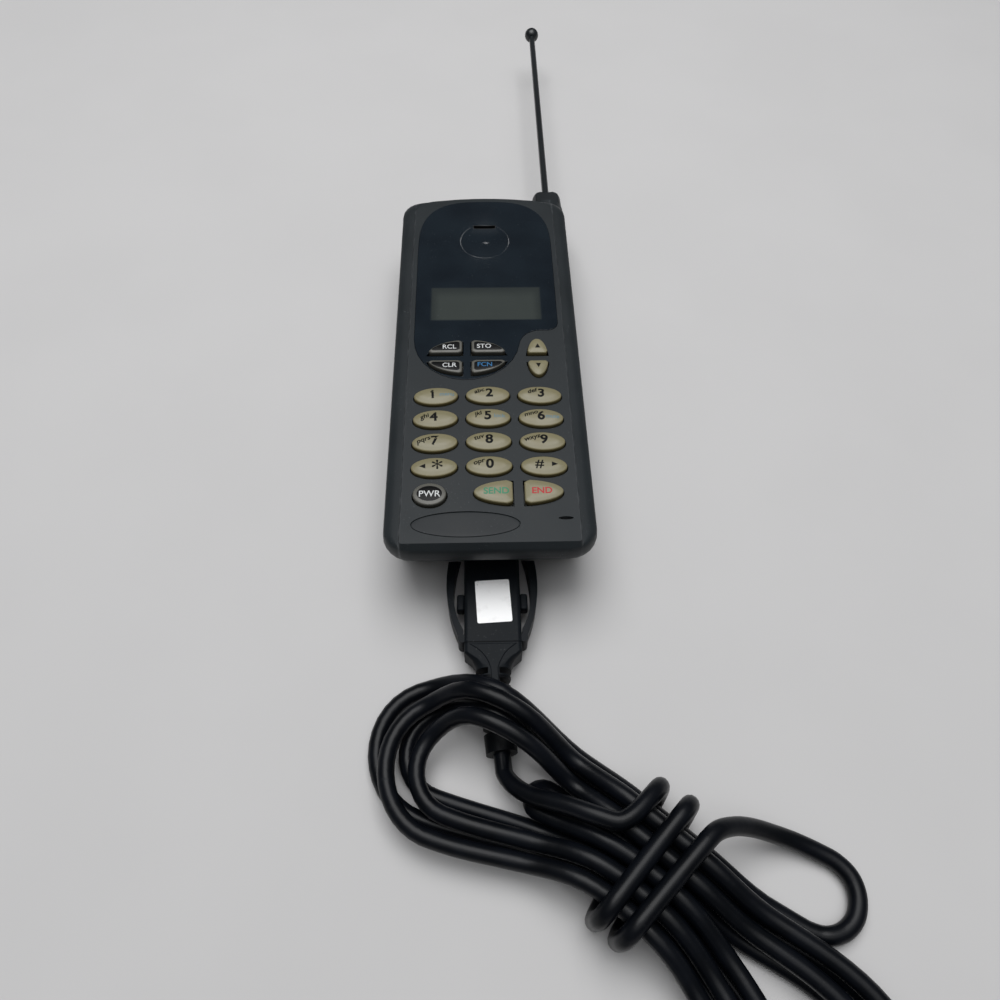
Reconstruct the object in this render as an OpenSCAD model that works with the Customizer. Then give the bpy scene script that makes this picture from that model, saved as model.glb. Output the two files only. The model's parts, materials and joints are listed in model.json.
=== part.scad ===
// Bar cell phone with a whip antenna, a rear battery pack and a plugged-in power cord.
// Millimetres. The origin lies under the middle of the body, on the battery's back, which is on the table.
// +X is the phone's right, +Y its antenna end and +Z its keypad face.

/* [Body] */
// Width across the sides
body_w = 58; // [56:0.5:66]
// Length of the body without the antenna
body_l = 148; // [146:1:160]
// Thickness from the battery's back to the keypad face
body_t = 30; // [29.5:0.5:34]
// Wall of the housing shells
wall = 2; // [1.8:0.1:2.2]
// Radius of the two lower corners in plan
foot_r = 8; // [7:0.5:10]
// Radius of the two upper corners in plan
head_r = 7; // [6:0.5:9]
// Radius of the bowed top edge
head_arch_r = 115; // [90:5:140]
// Width of the sloped rim on each side of the keypad face
rim = 5; // [4:0.25:5.5]
// Height of the step between the keypad face and the rim
face_step = 1.4; // [1:0.1:1.8]
// How far the lower end is undercut towards the plug
undercut = 4; // [3:0.5:5]
// How far the chin and its socket lie behind the undercut
chin_back = 8; // [7:0.5:9]
// Height of the lower end's visible face
end_face = 9; // [8:0.5:10]

/* [Display] */
// Strip of keypad face left on each side of the dark lens
lens_side = 1.7; // [1.5:0.1:3]
// Thickness of the lens
lens_t = 1.3; // [1.1:0.1:1.4]
// How far the lens stands proud of the face
lens_proud = 0.15; // [0.1:0.05:0.3]
// Gap between the lens's top and the body's top
lens_margin = 8; // [7.6:0.2:9]
// Height of the lens's rounded top
lens_arch = 26; // [23:0.5:28]
// Width of the display window
window_w = 34.5; // [30:0.5:36]
// Height of the display window
window_h = 14.3; // [12:0.1:16]
// Diameter of the earpiece dish
dish_d = 17; // [14:0.5:19]
// Depth of the earpiece dish
dish_depth = 0.7; // [0.5:0.1:1]

/* [Keys] */
// Strip of keypad face left outside the number keys
key_side = 2.55; // [2:0.05:3.5]
// Gap between neighbouring number keys in a row
key_between = 2.25; // [2:0.05:3]
// Height of a number key
key_h = 6.4; // [5.6:0.1:6.6]
// Spacing of the key rows
key_dy = 8.4; // [8.2:0.1:8.8]
// How far the keys stand proud of the face
key_proud = 1.6; // [1.2:0.1:2]
// Travel of a key when pressed
key_travel = 0.6; // [0.4:0.1:0.8]
// Drop of the outer columns
key_arch = 0.3; // [0:0.1:0.6]
// Tilt of the outer columns in degrees
key_tilt = 2.5; // [0:0.5:4]
// Gap round a key in its opening
key_gap = 0.25; // [0.2:0.05:0.35]
// Width of the four-key function cluster
fn_w = 24.4; // [22:0.2:24.6]
// Height of the four-key function cluster
fn_h = 13.6; // [12.2:0.2:14.2]
// Width of the volume rocker pair
vol_w = 6.5; // [5.6:0.1:6.8]
// Height of the volume rocker pair
vol_h = 14.8; // [13:0.2:15.8]
// Width of the send and end pair
call_w = 24.2; // [22:0.2:25]
// Height of the send and end pair
call_h = 7.9; // [6.4:0.1:8]
// Width of the power key
power_w = 9.2; // [8:0.1:9.6]
// Height of the power key
power_h = 7.2; // [6.6:0.1:8]
// Width of the bare oval badge recess
badge_w = 29; // [24:0.5:30]
// Height of the bare oval badge recess
badge_h = 8; // [6.6:0.1:8.2]

/* [Antenna] */
// Diameter of the whip
whip_d = 2.5; // [2:0.1:2.6]
// Diameter of the ball tip
tip_d = 6; // [5:0.2:7]
// Length of whip that shows when it is pulled out
whip_show = 115; // [100:1:116]
// Diameter of the boot at the whip's foot
boot_d = 11; // [10:0.2:11.2]
// Height of the boot
boot_l = 7.4; // [6.4:0.2:8.4]

/* [Battery] */
// Thickness of the battery pack
pack_t = 13.4; // [13.2:0.1:14]
// Diameter of a battery cell
cell_d = 10.4; // [9.6:0.1:10.5]
// Room left at each end of a battery cell for its strap
cell_end = 2.3; // [2:0.1:4]
// Wall of the battery pack
pack_wall = 1.4; // [1.2:0.1:1.5]

/* [Plug] */
// Width of the plug
plug_w = 15.4; // [14:0.2:16]
// Height of the plug
plug_h = 8.6; // [8:0.2:9]
// Length of the plug's parallel body
plug_l = 29; // [27:0.5:31]
// Length of the plug's taper to the strain relief
taper_l = 9; // [7:0.5:10]
// Width over the two latch arms
arms_w = 25; // [24:0.2:26]
// Thickness of a latch arm
arm_t = 1.9; // [1.5:0.1:2.1]
// Diameter of the strain relief
relief_d = 8.8; // [8:0.1:9.2]
// Length of the strain relief
relief_l = 19.4; // [16:0.2:20]
// Lean of the strain relief to the right in degrees
relief_lean = 5; // [0:1:6]

/* [Cord] */
// Diameter of the cord
cord_d = 4.4; // [4.2:0.1:4.5]
// Clear gap between strands lying side by side
cord_gap = 0.6; // [0.5:0.05:0.8]
// Length of the connector on the cord's far end
jack_l = 22; // [18:1:26]
// Diameter of that connector
jack_d = 9; // [8:0.2:9.2]

/* [Hidden] */
$fn = 48;
// Small clearances shared by pieces that fit together
seat = 0.1;
slide = 0.3;
// How far the rear shell and the battery lie inside the front's outline
inset = 0.4;

// Ends and levels of the body
foot_y = -body_l / 2;
head_y = body_l / 2;
half_w = body_w / 2;
face_w = body_w - 2 * rim;
face_half = face_w / 2;
face_z = body_t;
face_under = face_z - wall;
rim_z = face_z - face_step;
edge_z = face_z - end_face;
floor_t = 1.6;
floor_z = pack_t + 2 * seat;
floor_top = floor_z + floor_t;
split_z = floor_top + 1.8;
skirt_z = pack_t - 3.3;
chin_z = 2;
chin_r = 8;
chin_l = 12;
chin_y = foot_y + undercut + chin_back;
slab_lean = 1.7;
pack_foot = chin_y + chin_l;
post_d = 5;
screw_d = 2;
screw_head_d = 4;
screw_seat = floor_top - 0.2;
screw_top = split_z + 5;

// Board and the parts on it
board_t = 1.6;
board_top = face_under - 5;
board_z = board_top - board_t;
board_foot = foot_y + 12.2;
board_head = head_y - 18;
can_h = 4;
dome_d = 5;
dome_h = 0.35;
mat_t = 1.2;
flange_t = 1;
flange_lip = 0.7;
ear_h = 2.4;
flange_top = face_under - 0.15;
plunger_d = 3;
plunger_z = board_top + dome_h + key_travel + 0.05;
light_t = 1.2;
light_side = 1;
lcd_edge = 2;
mat_edge = 1;
can_foot = 24;
can_gap = 3;
can_head = 5;
can_side = 3;
can_wall = 0.5;

// Places of the keys: across as a share of half the face, along counted from the lower end
lens_w = face_w - 2 * lens_side;
key_w = (face_w - 2 * key_side - 2 * key_between) / 3;
key_dx = key_w + key_between;
row_rise = 25.6;
fn_rise = 65.65;
vol_rise = 65.4;
call_rise = 16.9;
power_rise = 16.4;
badge_rise = 7.5;
mic_rise = 9;
mic_side = 4;
window_rise = 89.2;
row_y = foot_y + row_rise;
fn_at = [-0.252 * face_half, foot_y + fn_rise];
vol_at = [0.6355 * face_half, foot_y + vol_rise];
call_at = [0.323 * face_half, foot_y + call_rise];
power_at = [-0.671 * face_half, foot_y + power_rise];
badge_at = [-0.271 * face_half, foot_y + badge_rise];
mic_at = [face_half - mic_side, foot_y + mic_rise];
window_at = [0, foot_y + window_rise];
slot_drop = 21.6;
dish_drop = 29;
ear_drop = 24.5;
ear_slot_y = head_y - slot_drop;
dish_y = head_y - dish_drop;
ear_at = [0, head_y - ear_drop];
fn_gap = [2.6, 2.8];
vol_gap = 2.9;
call_gap = 3;
mic_slot = [4, 1];
ear_slot = [7.2, 1.1];

// Antenna line
boss_d = boot_d + 0.4;
ant_x = half_w - boss_d / 2;
ant_z = floor_z + boss_d / 2;
boss_foot = head_y - 6.5;
boss_head = head_y;
boot_head = boss_head + boot_l;
whip_bore = whip_d + 0.5;
tube_d = whip_bore + 1.2;
tip_y = boot_head + whip_show + tip_d / 2;
whip_foot = boot_head - 20;
tube_foot = whip_foot - whip_show - 2;
board_right = ant_x - tube_d / 2 - 0.8;
board_left = -half_w + wall + 2;

// Battery
lid_t = 1.2;
pack_head = 1;
rail_t = 0.9;
rail_h = 1;
rail_z = skirt_z + 0.7;
latch_w = 15;
latch_l = 7.4;
latch_y = head_y - 14;
latch_travel = 1.2;
latch_lip = 0.4;
well_h = 6;
well_wall = 1.6;
pack_side = wall + pack_wall + rail_t;
cell_l = body_w - 2 * (inset + pack_side + cell_end);
cell_pitch = cell_d + seat;
cell_foot = pack_foot + pack_side + slide;
cell_count = floor((latch_y - latch_l / 2 - slide - well_wall - cell_foot) / cell_pitch);
contact_d = 1.6;
terminal_d = contact_d + 1.2;
terminal_l = 1.2;
contact_l = 5;
contact_z = skirt_z - terminal_d;
contact_xs = [-16, 12, 16];

// Plug, in line with the socket in the chin
plug_x = 0.3;
plug_z = plug_h / 2 + 2.2;
plug_y = chin_y - 0.4;
plug_tail = plug_y - plug_l;
taper_tail = plug_tail - taper_l;
nose_w = 11.4;
nose_h = 4.6;
nose_l = 6;
tongue_h = 1.2;
socket_w = nose_w + 2.6;
socket_h = nose_h + 2.6;
socket_l = 9;
pivot_d = 2.4;
pivot_at = [plug_w / 2 + 0.5, plug_tail + 1.6];
arm_h = plug_h - 2;
arm_tip = plug_y - 0.6;
tip_lean = 3.6;
arm_off = 0.25;
label_size = [9.7, 12.9, 0.12];
label_turn = 3;
label_at = [plug_x + 0.3, plug_y - 0.59 * plug_l, plug_z + plug_h / 2];
relief_slot = 1.6;
relief_spine = 3;
relief_dir = [sin(relief_lean), -cos(relief_lean), 0];
relief_end = [plug_x, taper_tail, plug_z] + relief_l * relief_dir;

// Screws: two through the chin, two near the head
screws = [
    [plug_x - socket_w / 2 - post_d, foot_y + 9],
    [plug_x + socket_w / 2 + post_d, foot_y + 9],
    [-half_w + 7, head_y - 11],
    [ant_x - tube_d / 2 - post_d, head_y - 11]
];

// Cord: strand steps, the hank's waist and the shape of its loops
cord_r = cord_d / 2;
strand = cord_d + cord_gap;
layer = strand + 0.3;
cord_z = cord_r + 0.2;
waist = [34, -146];
waist_turn = -40;
waist_bow = 155;
waist_flat = 9;
waist_fall = 18;
relief_x = 1.3;
hump_h = 11.5;
hump_half = 20;
hump_spread = 1.9;
loop_rings = 60;
loop_sides = 6;
hank_from = 0.171;
hank_to = 4.83;
wrap_from = 40;
wrap_to = 735;
wrap_u = -5.5;
wrap_pitch = 7;
wrap_half = 2.25 * strand + 0.3;
wrap_rings = 28;
wrap_z = cord_z + strand + layer / 2;
lead_via = [
    [4.6, -127.8, 8.6], [8.4, -130.8, 11], [12.8, -132.6, 13.2], [17, -134.2, 15.2],
    [21.5, -136.2, 16.8], [26.2, -138, 17.6]
];
side_via = [
    [50.4, -140.6, 16.6], [55.3, -139.2, 13.4], [60.6, -139, 9.8], [66.2, -139.8, 6.4], [71.8, -141.2, 4],
    [77.2, -143.4, 2.7], [81.3, -145.8, 2.4], [83.9, -149.2, 2.4], [84.4, -153.4, 2.4], [82.8, -157.6, 2.4],
    [79.4, -160.4, 2.4], [75.2, -161.2, 2.4]
];
tail_via = [
    [47.4, -184.6, 5.4], [45, -189.4, 3], [40, -192.8, 2.8], [34.5, -193.6, 4.2], [31, -193.6, 4.7]
];
jack_at = [27, -193.6, 4.7];
jack_cone = 6;
barrel_d = 5.4;
barrel_bore = 2.2;
barrel_l = 9;

// Colours
shell_grey = [0.22, 0.23, 0.25];
lens_blue = [0.08, 0.10, 0.13];
key_beige = [0.70, 0.66, 0.55];
key_black = [0.07, 0.08, 0.09];
black = [0.08, 0.08, 0.09];
steel = [0.72, 0.73, 0.75];
brass = [0.80, 0.64, 0.30];

// Every key: name, outline, centre, tilt and the corner of its cluster that it fills
DIGITS = ["1", "2", "3", "4", "5", "6", "7", "8", "9", "star", "0", "hash"];
NUMBER_KEYS = [
    for (i = [0:11])
        let (col = i % 3 - 1, row = floor(i / 3))
        [str("key_", DIGITS[i]), "oval", [col * key_dx, row_y + (3 - row) * key_dy - abs(col) * key_arch],
            -col * key_tilt, [1, 1]]
];
KEYS = concat(NUMBER_KEYS, [
    ["key_recall", "quarter", fn_at, 0, [-1, 1]],
    ["key_store", "quarter", fn_at, 0, [1, 1]],
    ["key_clear", "quarter", fn_at, 0, [-1, -1]],
    ["key_function", "quarter", fn_at, 0, [1, -1]],
    ["key_volume_up", "upright", vol_at, 0, [1, 1]],
    ["key_volume_down", "upright", vol_at, 0, [1, -1]],
    ["key_send", "level", call_at, 0, [-1, 1]],
    ["key_end", "level", call_at, 0, [1, 1]],
    ["key_power", "power", power_at, 0, [1, 1]]
]);

// Points of plane curves
function arc(c, r, a, b, n) = [for (i = [0:n]) c + r * [cos(a + (b - a) * i / n), sin(a + (b - a) * i / n)]];
function ellipse(a, b, n = 32) = [for (i = [0:n - 1]) [a * cos(360 * i / n), b * sin(360 * i / n)]];
function half_oval(a, b, gap, n = 20) =
    let (t = acos(gap / a))
    [for (i = [0:n]) [a * cos(-t + 2 * t * i / n), b * sin(-t + 2 * t * i / n)]];
function quarter_oval(a, b, gap, n = 14) =
    let (t0 = asin(gap[1] / b), t1 = acos(gap[0] / a))
    concat([for (i = [0:n]) [a * cos(t0 + (t1 - t0) * i / n), b * sin(t0 + (t1 - t0) * i / n)]], [gap]);
function swap(points) = [for (p = points) [p[1], p[0]]];
function superoval(c, a, b, power, n) = [
    for (i = [0:n])
        let (t = 180 * i / n, x = cos(t), y = sin(t))
        c + [a * sign(x) * pow(abs(x), 2 / power), b * pow(y, 2 / power)]
];

// Plan of the body: straight sides, two foot corners and a bowed head
function body_plan(side, foot, head, corner) =
    let (hw = half_w - side, top = head_y - head, r = head_r, c = max(corner, 0.8),
        reach = head_arch_r - r, cx = hw - r, cy = top - head_arch_r + sqrt(reach * reach - cx * cx),
        lean = acos(cx / reach), bottom = foot_y + foot)
    concat(arc([hw - c, bottom + c], c, -90, 0, 6), arc([cx, cy], r, 0, lean, 5),
        arc([0, top - head_arch_r], head_arch_r, lean + 4, 176 - lean, 6),
        arc([-cx, cy], r, 180 - lean, 180, 5), arc([-hw + c, bottom + c], c, 180, 270, 6));

// Solid through a stack of like outlines, each given as [points, z]
module loft(stack) {
    n = len(stack[0][0]);
    m = len(stack);
    points = [for (s = stack) for (p = s[0]) [p[0], p[1], s[1]]];
    sides = [
        for (j = [0:m - 2]) for (i = [0:n - 1])
            let (a = j * n + i, b = j * n + (i + 1) % n)
            each [[a, b + n, b], [a, a + n, b + n]]
    ];
    polyhedron(points, concat([[for (i = [0:n - 1]) i]], sides,
        [[for (i = [n - 1:-1:0]) (m - 1) * n + i]]));
}

// Tube of the given sides along a list of points, with rings square to the path
function unit(v) = v / norm(v);
function path_dir(p, i) =
    i == 0 ? unit(p[1] - p[0]) :
    i == len(p) - 1 ? unit(p[i] - p[i - 1]) : unit(unit(p[i + 1] - p[i]) + unit(p[i] - p[i - 1]));
function carry(side, dir) = unit(side - (side * dir) * dir);
function frames(p, i = 0, side = [0.3, 0.2, 0.93], list = []) =
    i == len(p) ? list :
    let (d = path_dir(p, i), s = carry(side, d))
    frames(p, i + 1, s, concat(list, [[s, cross(d, s)]]));
module tube(p, r, sides) {
    m = len(p);
    f = frames(p);
    points = [
        for (i = [0:m - 1]) for (k = [0:sides - 1])
            p[i] + r * (cos(360 * k / sides) * f[i][0] + sin(360 * k / sides) * f[i][1])
    ];
    wall_faces = [
        for (i = [0:m - 2]) for (k = [0:sides - 1])
            let (a = i * sides + k, b = i * sides + (k + 1) % sides)
            each [[a, b, b + sides], [a, b + sides, a + sides]]
    ];
    first = [for (k = [1:sides - 2]) [0, k + 1, k]];
    last = [for (k = [1:sides - 2]) let (o = (m - 1) * sides) [o, o + k, o + k + 1]];
    polyhedron(points, [for (t = concat(wall_faces, first, last)) [t[2], t[1], t[0]]]);
}
// Smooth points through a hand-laid route whose first and last steps stay straight
function route(p, steps) =
    let (n = len(p))
    concat([p[0]], [
        for (i = [1:n - 3]) for (j = [0:steps - 1])
            let (t = j / steps)
            0.5 * (2 * p[i] + (p[i + 1] - p[i - 1]) * t
                + (2 * p[i - 1] - 5 * p[i] + 4 * p[i + 1] - p[i + 2]) * t * t
                + (3 * p[i] - p[i - 1] - 3 * p[i + 1] + p[i + 2]) * t * t * t)
    ], [p[n - 2], p[n - 1]]);

// Cylinder along +Y
module rod_y(x, z, from, to, d) {
    translate([x, from, z])
        rotate([-90, 0, 0])
            cylinder(d = d, h = to - from);
}

// Outline of a key, grown all round
function key_points(kind, grow) =
    kind == "oval" ? ellipse(key_w / 2 + grow, key_h / 2 + grow) :
    kind == "power" ? ellipse(power_w / 2 + grow, power_h / 2 + grow) :
    kind == "quarter" ? quarter_oval(fn_w / 2 + grow, fn_h / 2 + grow, fn_gap / 2 - [grow, grow]) :
    kind == "level" ? half_oval(call_w / 2 + grow, call_h / 2 + grow, call_gap / 2 - grow) :
    swap(half_oval(vol_h / 2 + grow, vol_w / 2 + grow, vol_gap / 2 - grow));
// Where a finger's push meets the board, from the key's centre
function key_press(kind) =
    kind == "quarter" ? [fn_w * 0.22, fn_h * 0.26] :
    kind == "level" ? [call_w * 0.22, 0] :
    kind == "upright" ? [0, vol_h * 0.28] : [0, 0];
// Retaining flange: an ear at each end of a lone key, a rim round a key in a cluster
function is_lone(kind) = kind == "oval" || kind == "power";
function key_ears(kind) = [(kind == "oval" ? key_w : power_w) + 2 * flange_lip, ear_h];
function key_crown(kind) = kind == "quarter" ? 80 : kind == "level" ? 48 : kind == "upright" ? 34 : 26;
module key_place(k) {
    translate([k[2][0], k[2][1], 0])
        rotate([0, 0, k[3]])
            children();
}
module key_shape(k, grow) {
    polygon([for (p = key_points(k[1], grow)) [p[0] * k[4][0], p[1] * k[4][1]]]);
}
module press_at(k) {
    p = key_press(k[1]);
    key_place(k)
        translate([p[0] * k[4][0], p[1] * k[4][1], 0])
            children();
}

// A key: crowned cap, retaining flange and the plunger that meets its dome
module phone_key(k) {
    crown = key_crown(k[1]);
    dark = k[1] == "quarter" || k[1] == "power";
    top = face_z + key_proud;
    color(dark ? key_black : key_beige) {
        key_place(k) {
            intersection() {
                translate([0, 0, flange_top - flange_t])
                    linear_extrude(top - flange_top + flange_t)
                        key_shape(k, 0);
                translate([0, 0, top - crown])
                    sphere(r = crown, $fn = 96);
            }
            translate([0, 0, flange_top - flange_t])
                linear_extrude(flange_t)
                    if (is_lone(k[1]))
                        square(key_ears(k[1]), center = true);
                    else
                        key_shape(k, flange_lip);
        }
        press_at(k)
            translate([0, 0, plunger_z])
                cylinder(d = plunger_d, h = flange_top - flange_t - plunger_z);
    }
}

// Plan of the lens: rounded top, straight sides, a lobe round the function keys and a notch
lobe_a = lens_w / 2 + fn_at[0];
lobe_b = 16.7;
lobe_rise = 8.35;
lobe_at = [fn_at[0], fn_at[1] + lobe_rise];
notch_r = 6.5;
notch_turn = 8;
notch_at = lobe_at + [(lobe_a + notch_r) * cos(notch_turn), -(lobe_b + notch_r) * sin(notch_turn)];
hip_r = 3.4;
lens_power = 3;
function lens_plan(shrink) =
    let (a = lens_w / 2 - shrink, c = head_y - lens_margin - lens_arch,
        r = notch_r + shrink, h = hip_r - shrink)
    concat(superoval([0, c], a, lens_arch - shrink, lens_power, 32),
        [for (i = [0:14]) let (t = 180 + (180 - notch_turn) * i / 14)
            lobe_at + [(lobe_a - shrink) * cos(t), (lobe_b - shrink) * sin(t)]],
        arc(notch_at, r, 170 - notch_turn, 90, 7),
        arc([lens_w / 2 - hip_r, notch_at[1] + notch_r + hip_r], h, -90, 0, 6));

module lens_holes(depth) {
    translate([0, 0, face_z - depth])
        linear_extrude(depth + 1) {
            for (k = KEYS)
                if (k[1] == "quarter")
                    key_place(k)
                        key_shape(k, key_gap);
            translate([0, ear_slot_y])
                square(ear_slot, center = true);
        }
}
module display_lens() {
    dish_r = (dish_d * dish_d / 4 + dish_depth * dish_depth) / (2 * dish_depth);
    top = face_z + lens_proud;
    color(lens_blue)
        difference() {
            translate([0, 0, top - lens_t])
                linear_extrude(lens_t)
                    polygon(lens_plan(seat));
            lens_holes(wall);
            translate([0, dish_y, top - dish_depth + dish_r])
                sphere(r = dish_r, $fn = 128);
        }
}

// Outer form of the front housing, from the parting line up to the keypad face
front_stack = [
    [body_plan(inset, undercut, inset, foot_r), split_z],
    [body_plan(0, 1.75, 0, foot_r), edge_z],
    [body_plan(rim * 0.03, 0.6, 0.2, foot_r), edge_z + 0.22 * end_face],
    [body_plan(rim * 0.07, 0.15, 0.8, foot_r - 0.2), edge_z + 0.46 * end_face],
    [body_plan(rim * 0.16, 0.2, 2.3, foot_r - 0.6), rim_z - 1.6],
    [body_plan(rim * 0.36, 0.35, 3.5, foot_r - 1.6), rim_z - 0.7],
    [body_plan(rim * 0.68, 0.55, 4.3, foot_r - 3.4), rim_z - 0.25],
    [body_plan(rim, 0.8, 4.9, foot_r - 7), rim_z],
    [body_plan(rim + 0.25, 1.9, 6.2, foot_r - 7.2), face_z]
];
// Three steps inside it, each a wall's thickness within the outer form
module front_cavity() {
    hip_z = edge_z + 0.3 * end_face;
    translate([0, 0, split_z - 1])
        linear_extrude(hip_z - split_z + 1)
            polygon(body_plan(wall + inset, undercut + wall, wall + inset, foot_r - wall));
    translate([0, 0, hip_z - 1])
        linear_extrude(rim_z - wall - hip_z + 1)
            polygon(body_plan(0.4 * rim + wall, wall + 1, wall + 3.2, foot_r - wall - 1));
    translate([0, 0, edge_z])
        linear_extrude(face_under - edge_z)
            polygon(body_plan(rim + 0.75 * wall, wall + 1.9, wall + 5.2, foot_r - 6));
}
module front_housing() {
    color(shell_grey)
        difference() {
            union() {
                difference() {
                    loft(front_stack);
                    front_cavity();
                }
                for (s = screws)
                    translate([s[0], s[1], split_z])
                        cylinder(d = post_d, h = face_under - split_z + 0.2);
            }
            for (s = screws)
                translate([s[0], s[1], split_z - 1])
                    cylinder(d = screw_d + 0.1, h = screw_top - split_z + 1.5);
            translate([0, 0, face_z + lens_proud - lens_t])
                linear_extrude(lens_t + 1)
                    polygon(lens_plan(0));
            lens_holes(wall + 1);
            translate([window_at[0], window_at[1], face_under + wall / 2])
                cube([window_w + 1, window_h + 1, wall + 2], center = true);
            for (k = KEYS)
                if (k[1] != "quarter")
                    key_place(k)
                        translate([0, 0, face_under - 1])
                            linear_extrude(wall + 2)
                                key_shape(k, key_gap);
            translate([mic_at[0], mic_at[1], face_under - 1])
                linear_extrude(wall + 2)
                    polygon(ellipse(mic_slot[0] / 2, mic_slot[1] / 2, 24));
            translate([badge_at[0], badge_at[1], face_z - 0.4])
                linear_extrude(1)
                    polygon(ellipse(badge_w / 2, badge_h / 2, 48));
            rod_y(ant_x, ant_z, boss_foot - slide, boot_head, boss_d + slide);
            rod_y(ant_x, ant_z, tube_foot - slide, boss_foot, tube_d + 2 * slide);
        }
}

module rear_shell() {
    hollow_foot = undercut + slab_lean / 2 + wall;
    side = half_w - inset;
    chin_head = chin_y + chin_l - slide;
    difference() {
        loft([
            [body_plan(inset, undercut + slab_lean, inset, foot_r), floor_z],
            [body_plan(inset, undercut, inset, foot_r), split_z]
        ]);
        translate([0, 0, floor_top])
            linear_extrude(split_z)
                polygon(body_plan(wall + inset, hollow_foot, wall + inset, foot_r - wall));
    }
    translate([0, 0, chin_z])
        linear_extrude(floor_z - chin_z + seat)
            polygon(concat(arc([side - chin_r, chin_y + chin_r], chin_r, -90, 0, 6),
                [[side, chin_head], [-side, chin_head]],
                arc([chin_r - side, chin_y + chin_r], chin_r, 180, 270, 6)));
}
// Side skirts whose rails hold the battery up
module skirts() {
    outer = half_w - inset;
    inner = half_w - wall;
    tip = inner - rail_t;
    profile = [
        [outer, floor_z + seat], [outer, skirt_z], [inner, skirt_z], [inner, rail_z], [tip, rail_z],
        [tip, rail_z + rail_h], [inner, rail_z + rail_h], [inner, floor_z + seat]
    ];
    for (side = [-1, 1])
        translate([0, pack_foot - slide, 0])
            rotate([90, 0, 180])
                linear_extrude(head_y - head_r - 4 - pack_foot)
                    polygon([for (p = profile) [p[0] * side, p[1]]]);
}
// Saddles that hold the antenna's guide tube over the floor
module saddles() {
    for (y = [tube_foot + 8, (tube_foot + boss_foot) / 2, boss_foot - 8])
        translate([ant_x - tube_d / 2, y, floor_top - 0.1])
            cube([tube_d, 3, ant_z - floor_top]);
}
module rear_housing() {
    color(shell_grey)
        difference() {
            union() {
                rear_shell();
                skirts();
                saddles();
                rod_y(ant_x, ant_z, boss_foot, boss_head, boss_d);
                for (s = screws)
                    translate([s[0], s[1], floor_z])
                        cylinder(d = post_d + 1, h = split_z - floor_z);
            }
            rod_y(ant_x, ant_z, tube_foot - 10, boss_foot, tube_d + 2 * seat);
            rod_y(ant_x, ant_z, boss_foot - 1, boss_head + 1, whip_bore);
            for (s = screws) {
                translate([s[0], s[1], 0])
                    cylinder(d = screw_d + 0.4, h = split_z + 1);
                translate([s[0], s[1], 0])
                    cylinder(d = screw_head_d + 0.4, h = screw_seat);
            }
            translate([plug_x - socket_w / 2, chin_y - 1, plug_z - socket_h / 2])
                cube([socket_w, socket_l + 1, socket_h]);
            for (x = contact_xs)
                rod_y(x, contact_z, pack_foot - contact_l, pack_foot + 1, contact_d + 2 * seat);
        }
}

// Display and sound
module lcd_module() {
    color([0.33, 0.36, 0.31])
        translate([window_at[0] - window_w / 2 - lcd_edge, window_at[1] - window_h / 2 - lcd_edge,
            board_top + light_t])
            cube([window_w + 2 * lcd_edge, window_h + 2 * lcd_edge,
                face_under - seat - board_top - light_t]);
}
module lcd_backlight() {
    side = lcd_edge + light_side;
    color([0.75, 0.85, 0.55])
        translate([window_at[0] - window_w / 2 - side, window_at[1] - window_h / 2 - lcd_edge, board_top])
            cube([window_w + 2 * side, window_h + 2 * lcd_edge, light_t]);
}
ear_d = 14;
gasket_t = 0.6;
module earpiece() {
    color(steel)
        translate([ear_at[0], ear_at[1], board_top + 0.4])
            cylinder(d = ear_d, h = face_under - gasket_t - board_top - 0.4);
}
module earpiece_gasket() {
    color(black)
        translate([ear_at[0], ear_at[1], face_under - gasket_t])
            difference() {
                cylinder(d = ear_d, h = gasket_t);
                translate([0, 0, -1])
                    cylinder(d = ear_d - 3, h = gasket_t + 2);
            }
}
mic_d = 4.6;
module microphone() {
    color(steel)
        translate([mic_at[0], mic_at[1], face_under - gasket_t - 2.8])
            cylinder(d = mic_d, h = 2.8);
}
module mic_boot() {
    color(black)
        translate([mic_at[0], mic_at[1], face_under - gasket_t])
            difference() {
                cylinder(d = mic_d, h = gasket_t);
                translate([0, 0, -1])
                    cylinder(d = mic_d - 1.6, h = gasket_t + 2);
            }
}
module ringer() {
    color(black)
        translate([-13, board_foot + 12, board_z - 3.6])
            cylinder(d = 13, h = 3.6);
}

// Keypad and board
module keypad_mat() {
    top = fn_at[1] + fn_h / 2 + mat_edge;
    color([0.55, 0.56, 0.55])
        difference() {
            translate([board_left + mat_edge, board_foot + mat_edge / 2, board_top])
                cube([board_right - board_left - 2 * mat_edge, top - board_foot - mat_edge / 2, mat_t]);
            for (k = KEYS)
                press_at(k)
                    translate([0, 0, board_top - 1])
                        cylinder(d = dome_d + 0.6, h = mat_t + 2);
        }
}
module key_domes() {
    color(steel)
        for (k = KEYS)
            press_at(k)
                translate([0, 0, board_top])
                    cylinder(d = dome_d, h = dome_h);
}
module main_board() {
    color([0.10, 0.36, 0.22])
        translate([board_left, board_foot, board_z])
            cube([board_right - board_left, board_head - board_foot, board_t]);
}
// Open-topped cans under the board
module rf_shields() {
    width = board_right - board_left - 2 * can_side;
    long = (board_head - board_foot - can_foot - can_gap - can_head) / 2;
    color(steel)
        for (y = [board_foot + can_foot, board_foot + can_foot + long + can_gap])
            translate([board_left + can_side, y, board_z - can_h])
                difference() {
                    cube([width, long, can_h]);
                    translate([can_wall, can_wall, can_wall])
                        cube([width - 2 * can_wall, long - 2 * can_wall, can_h]);
                }
}

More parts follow.
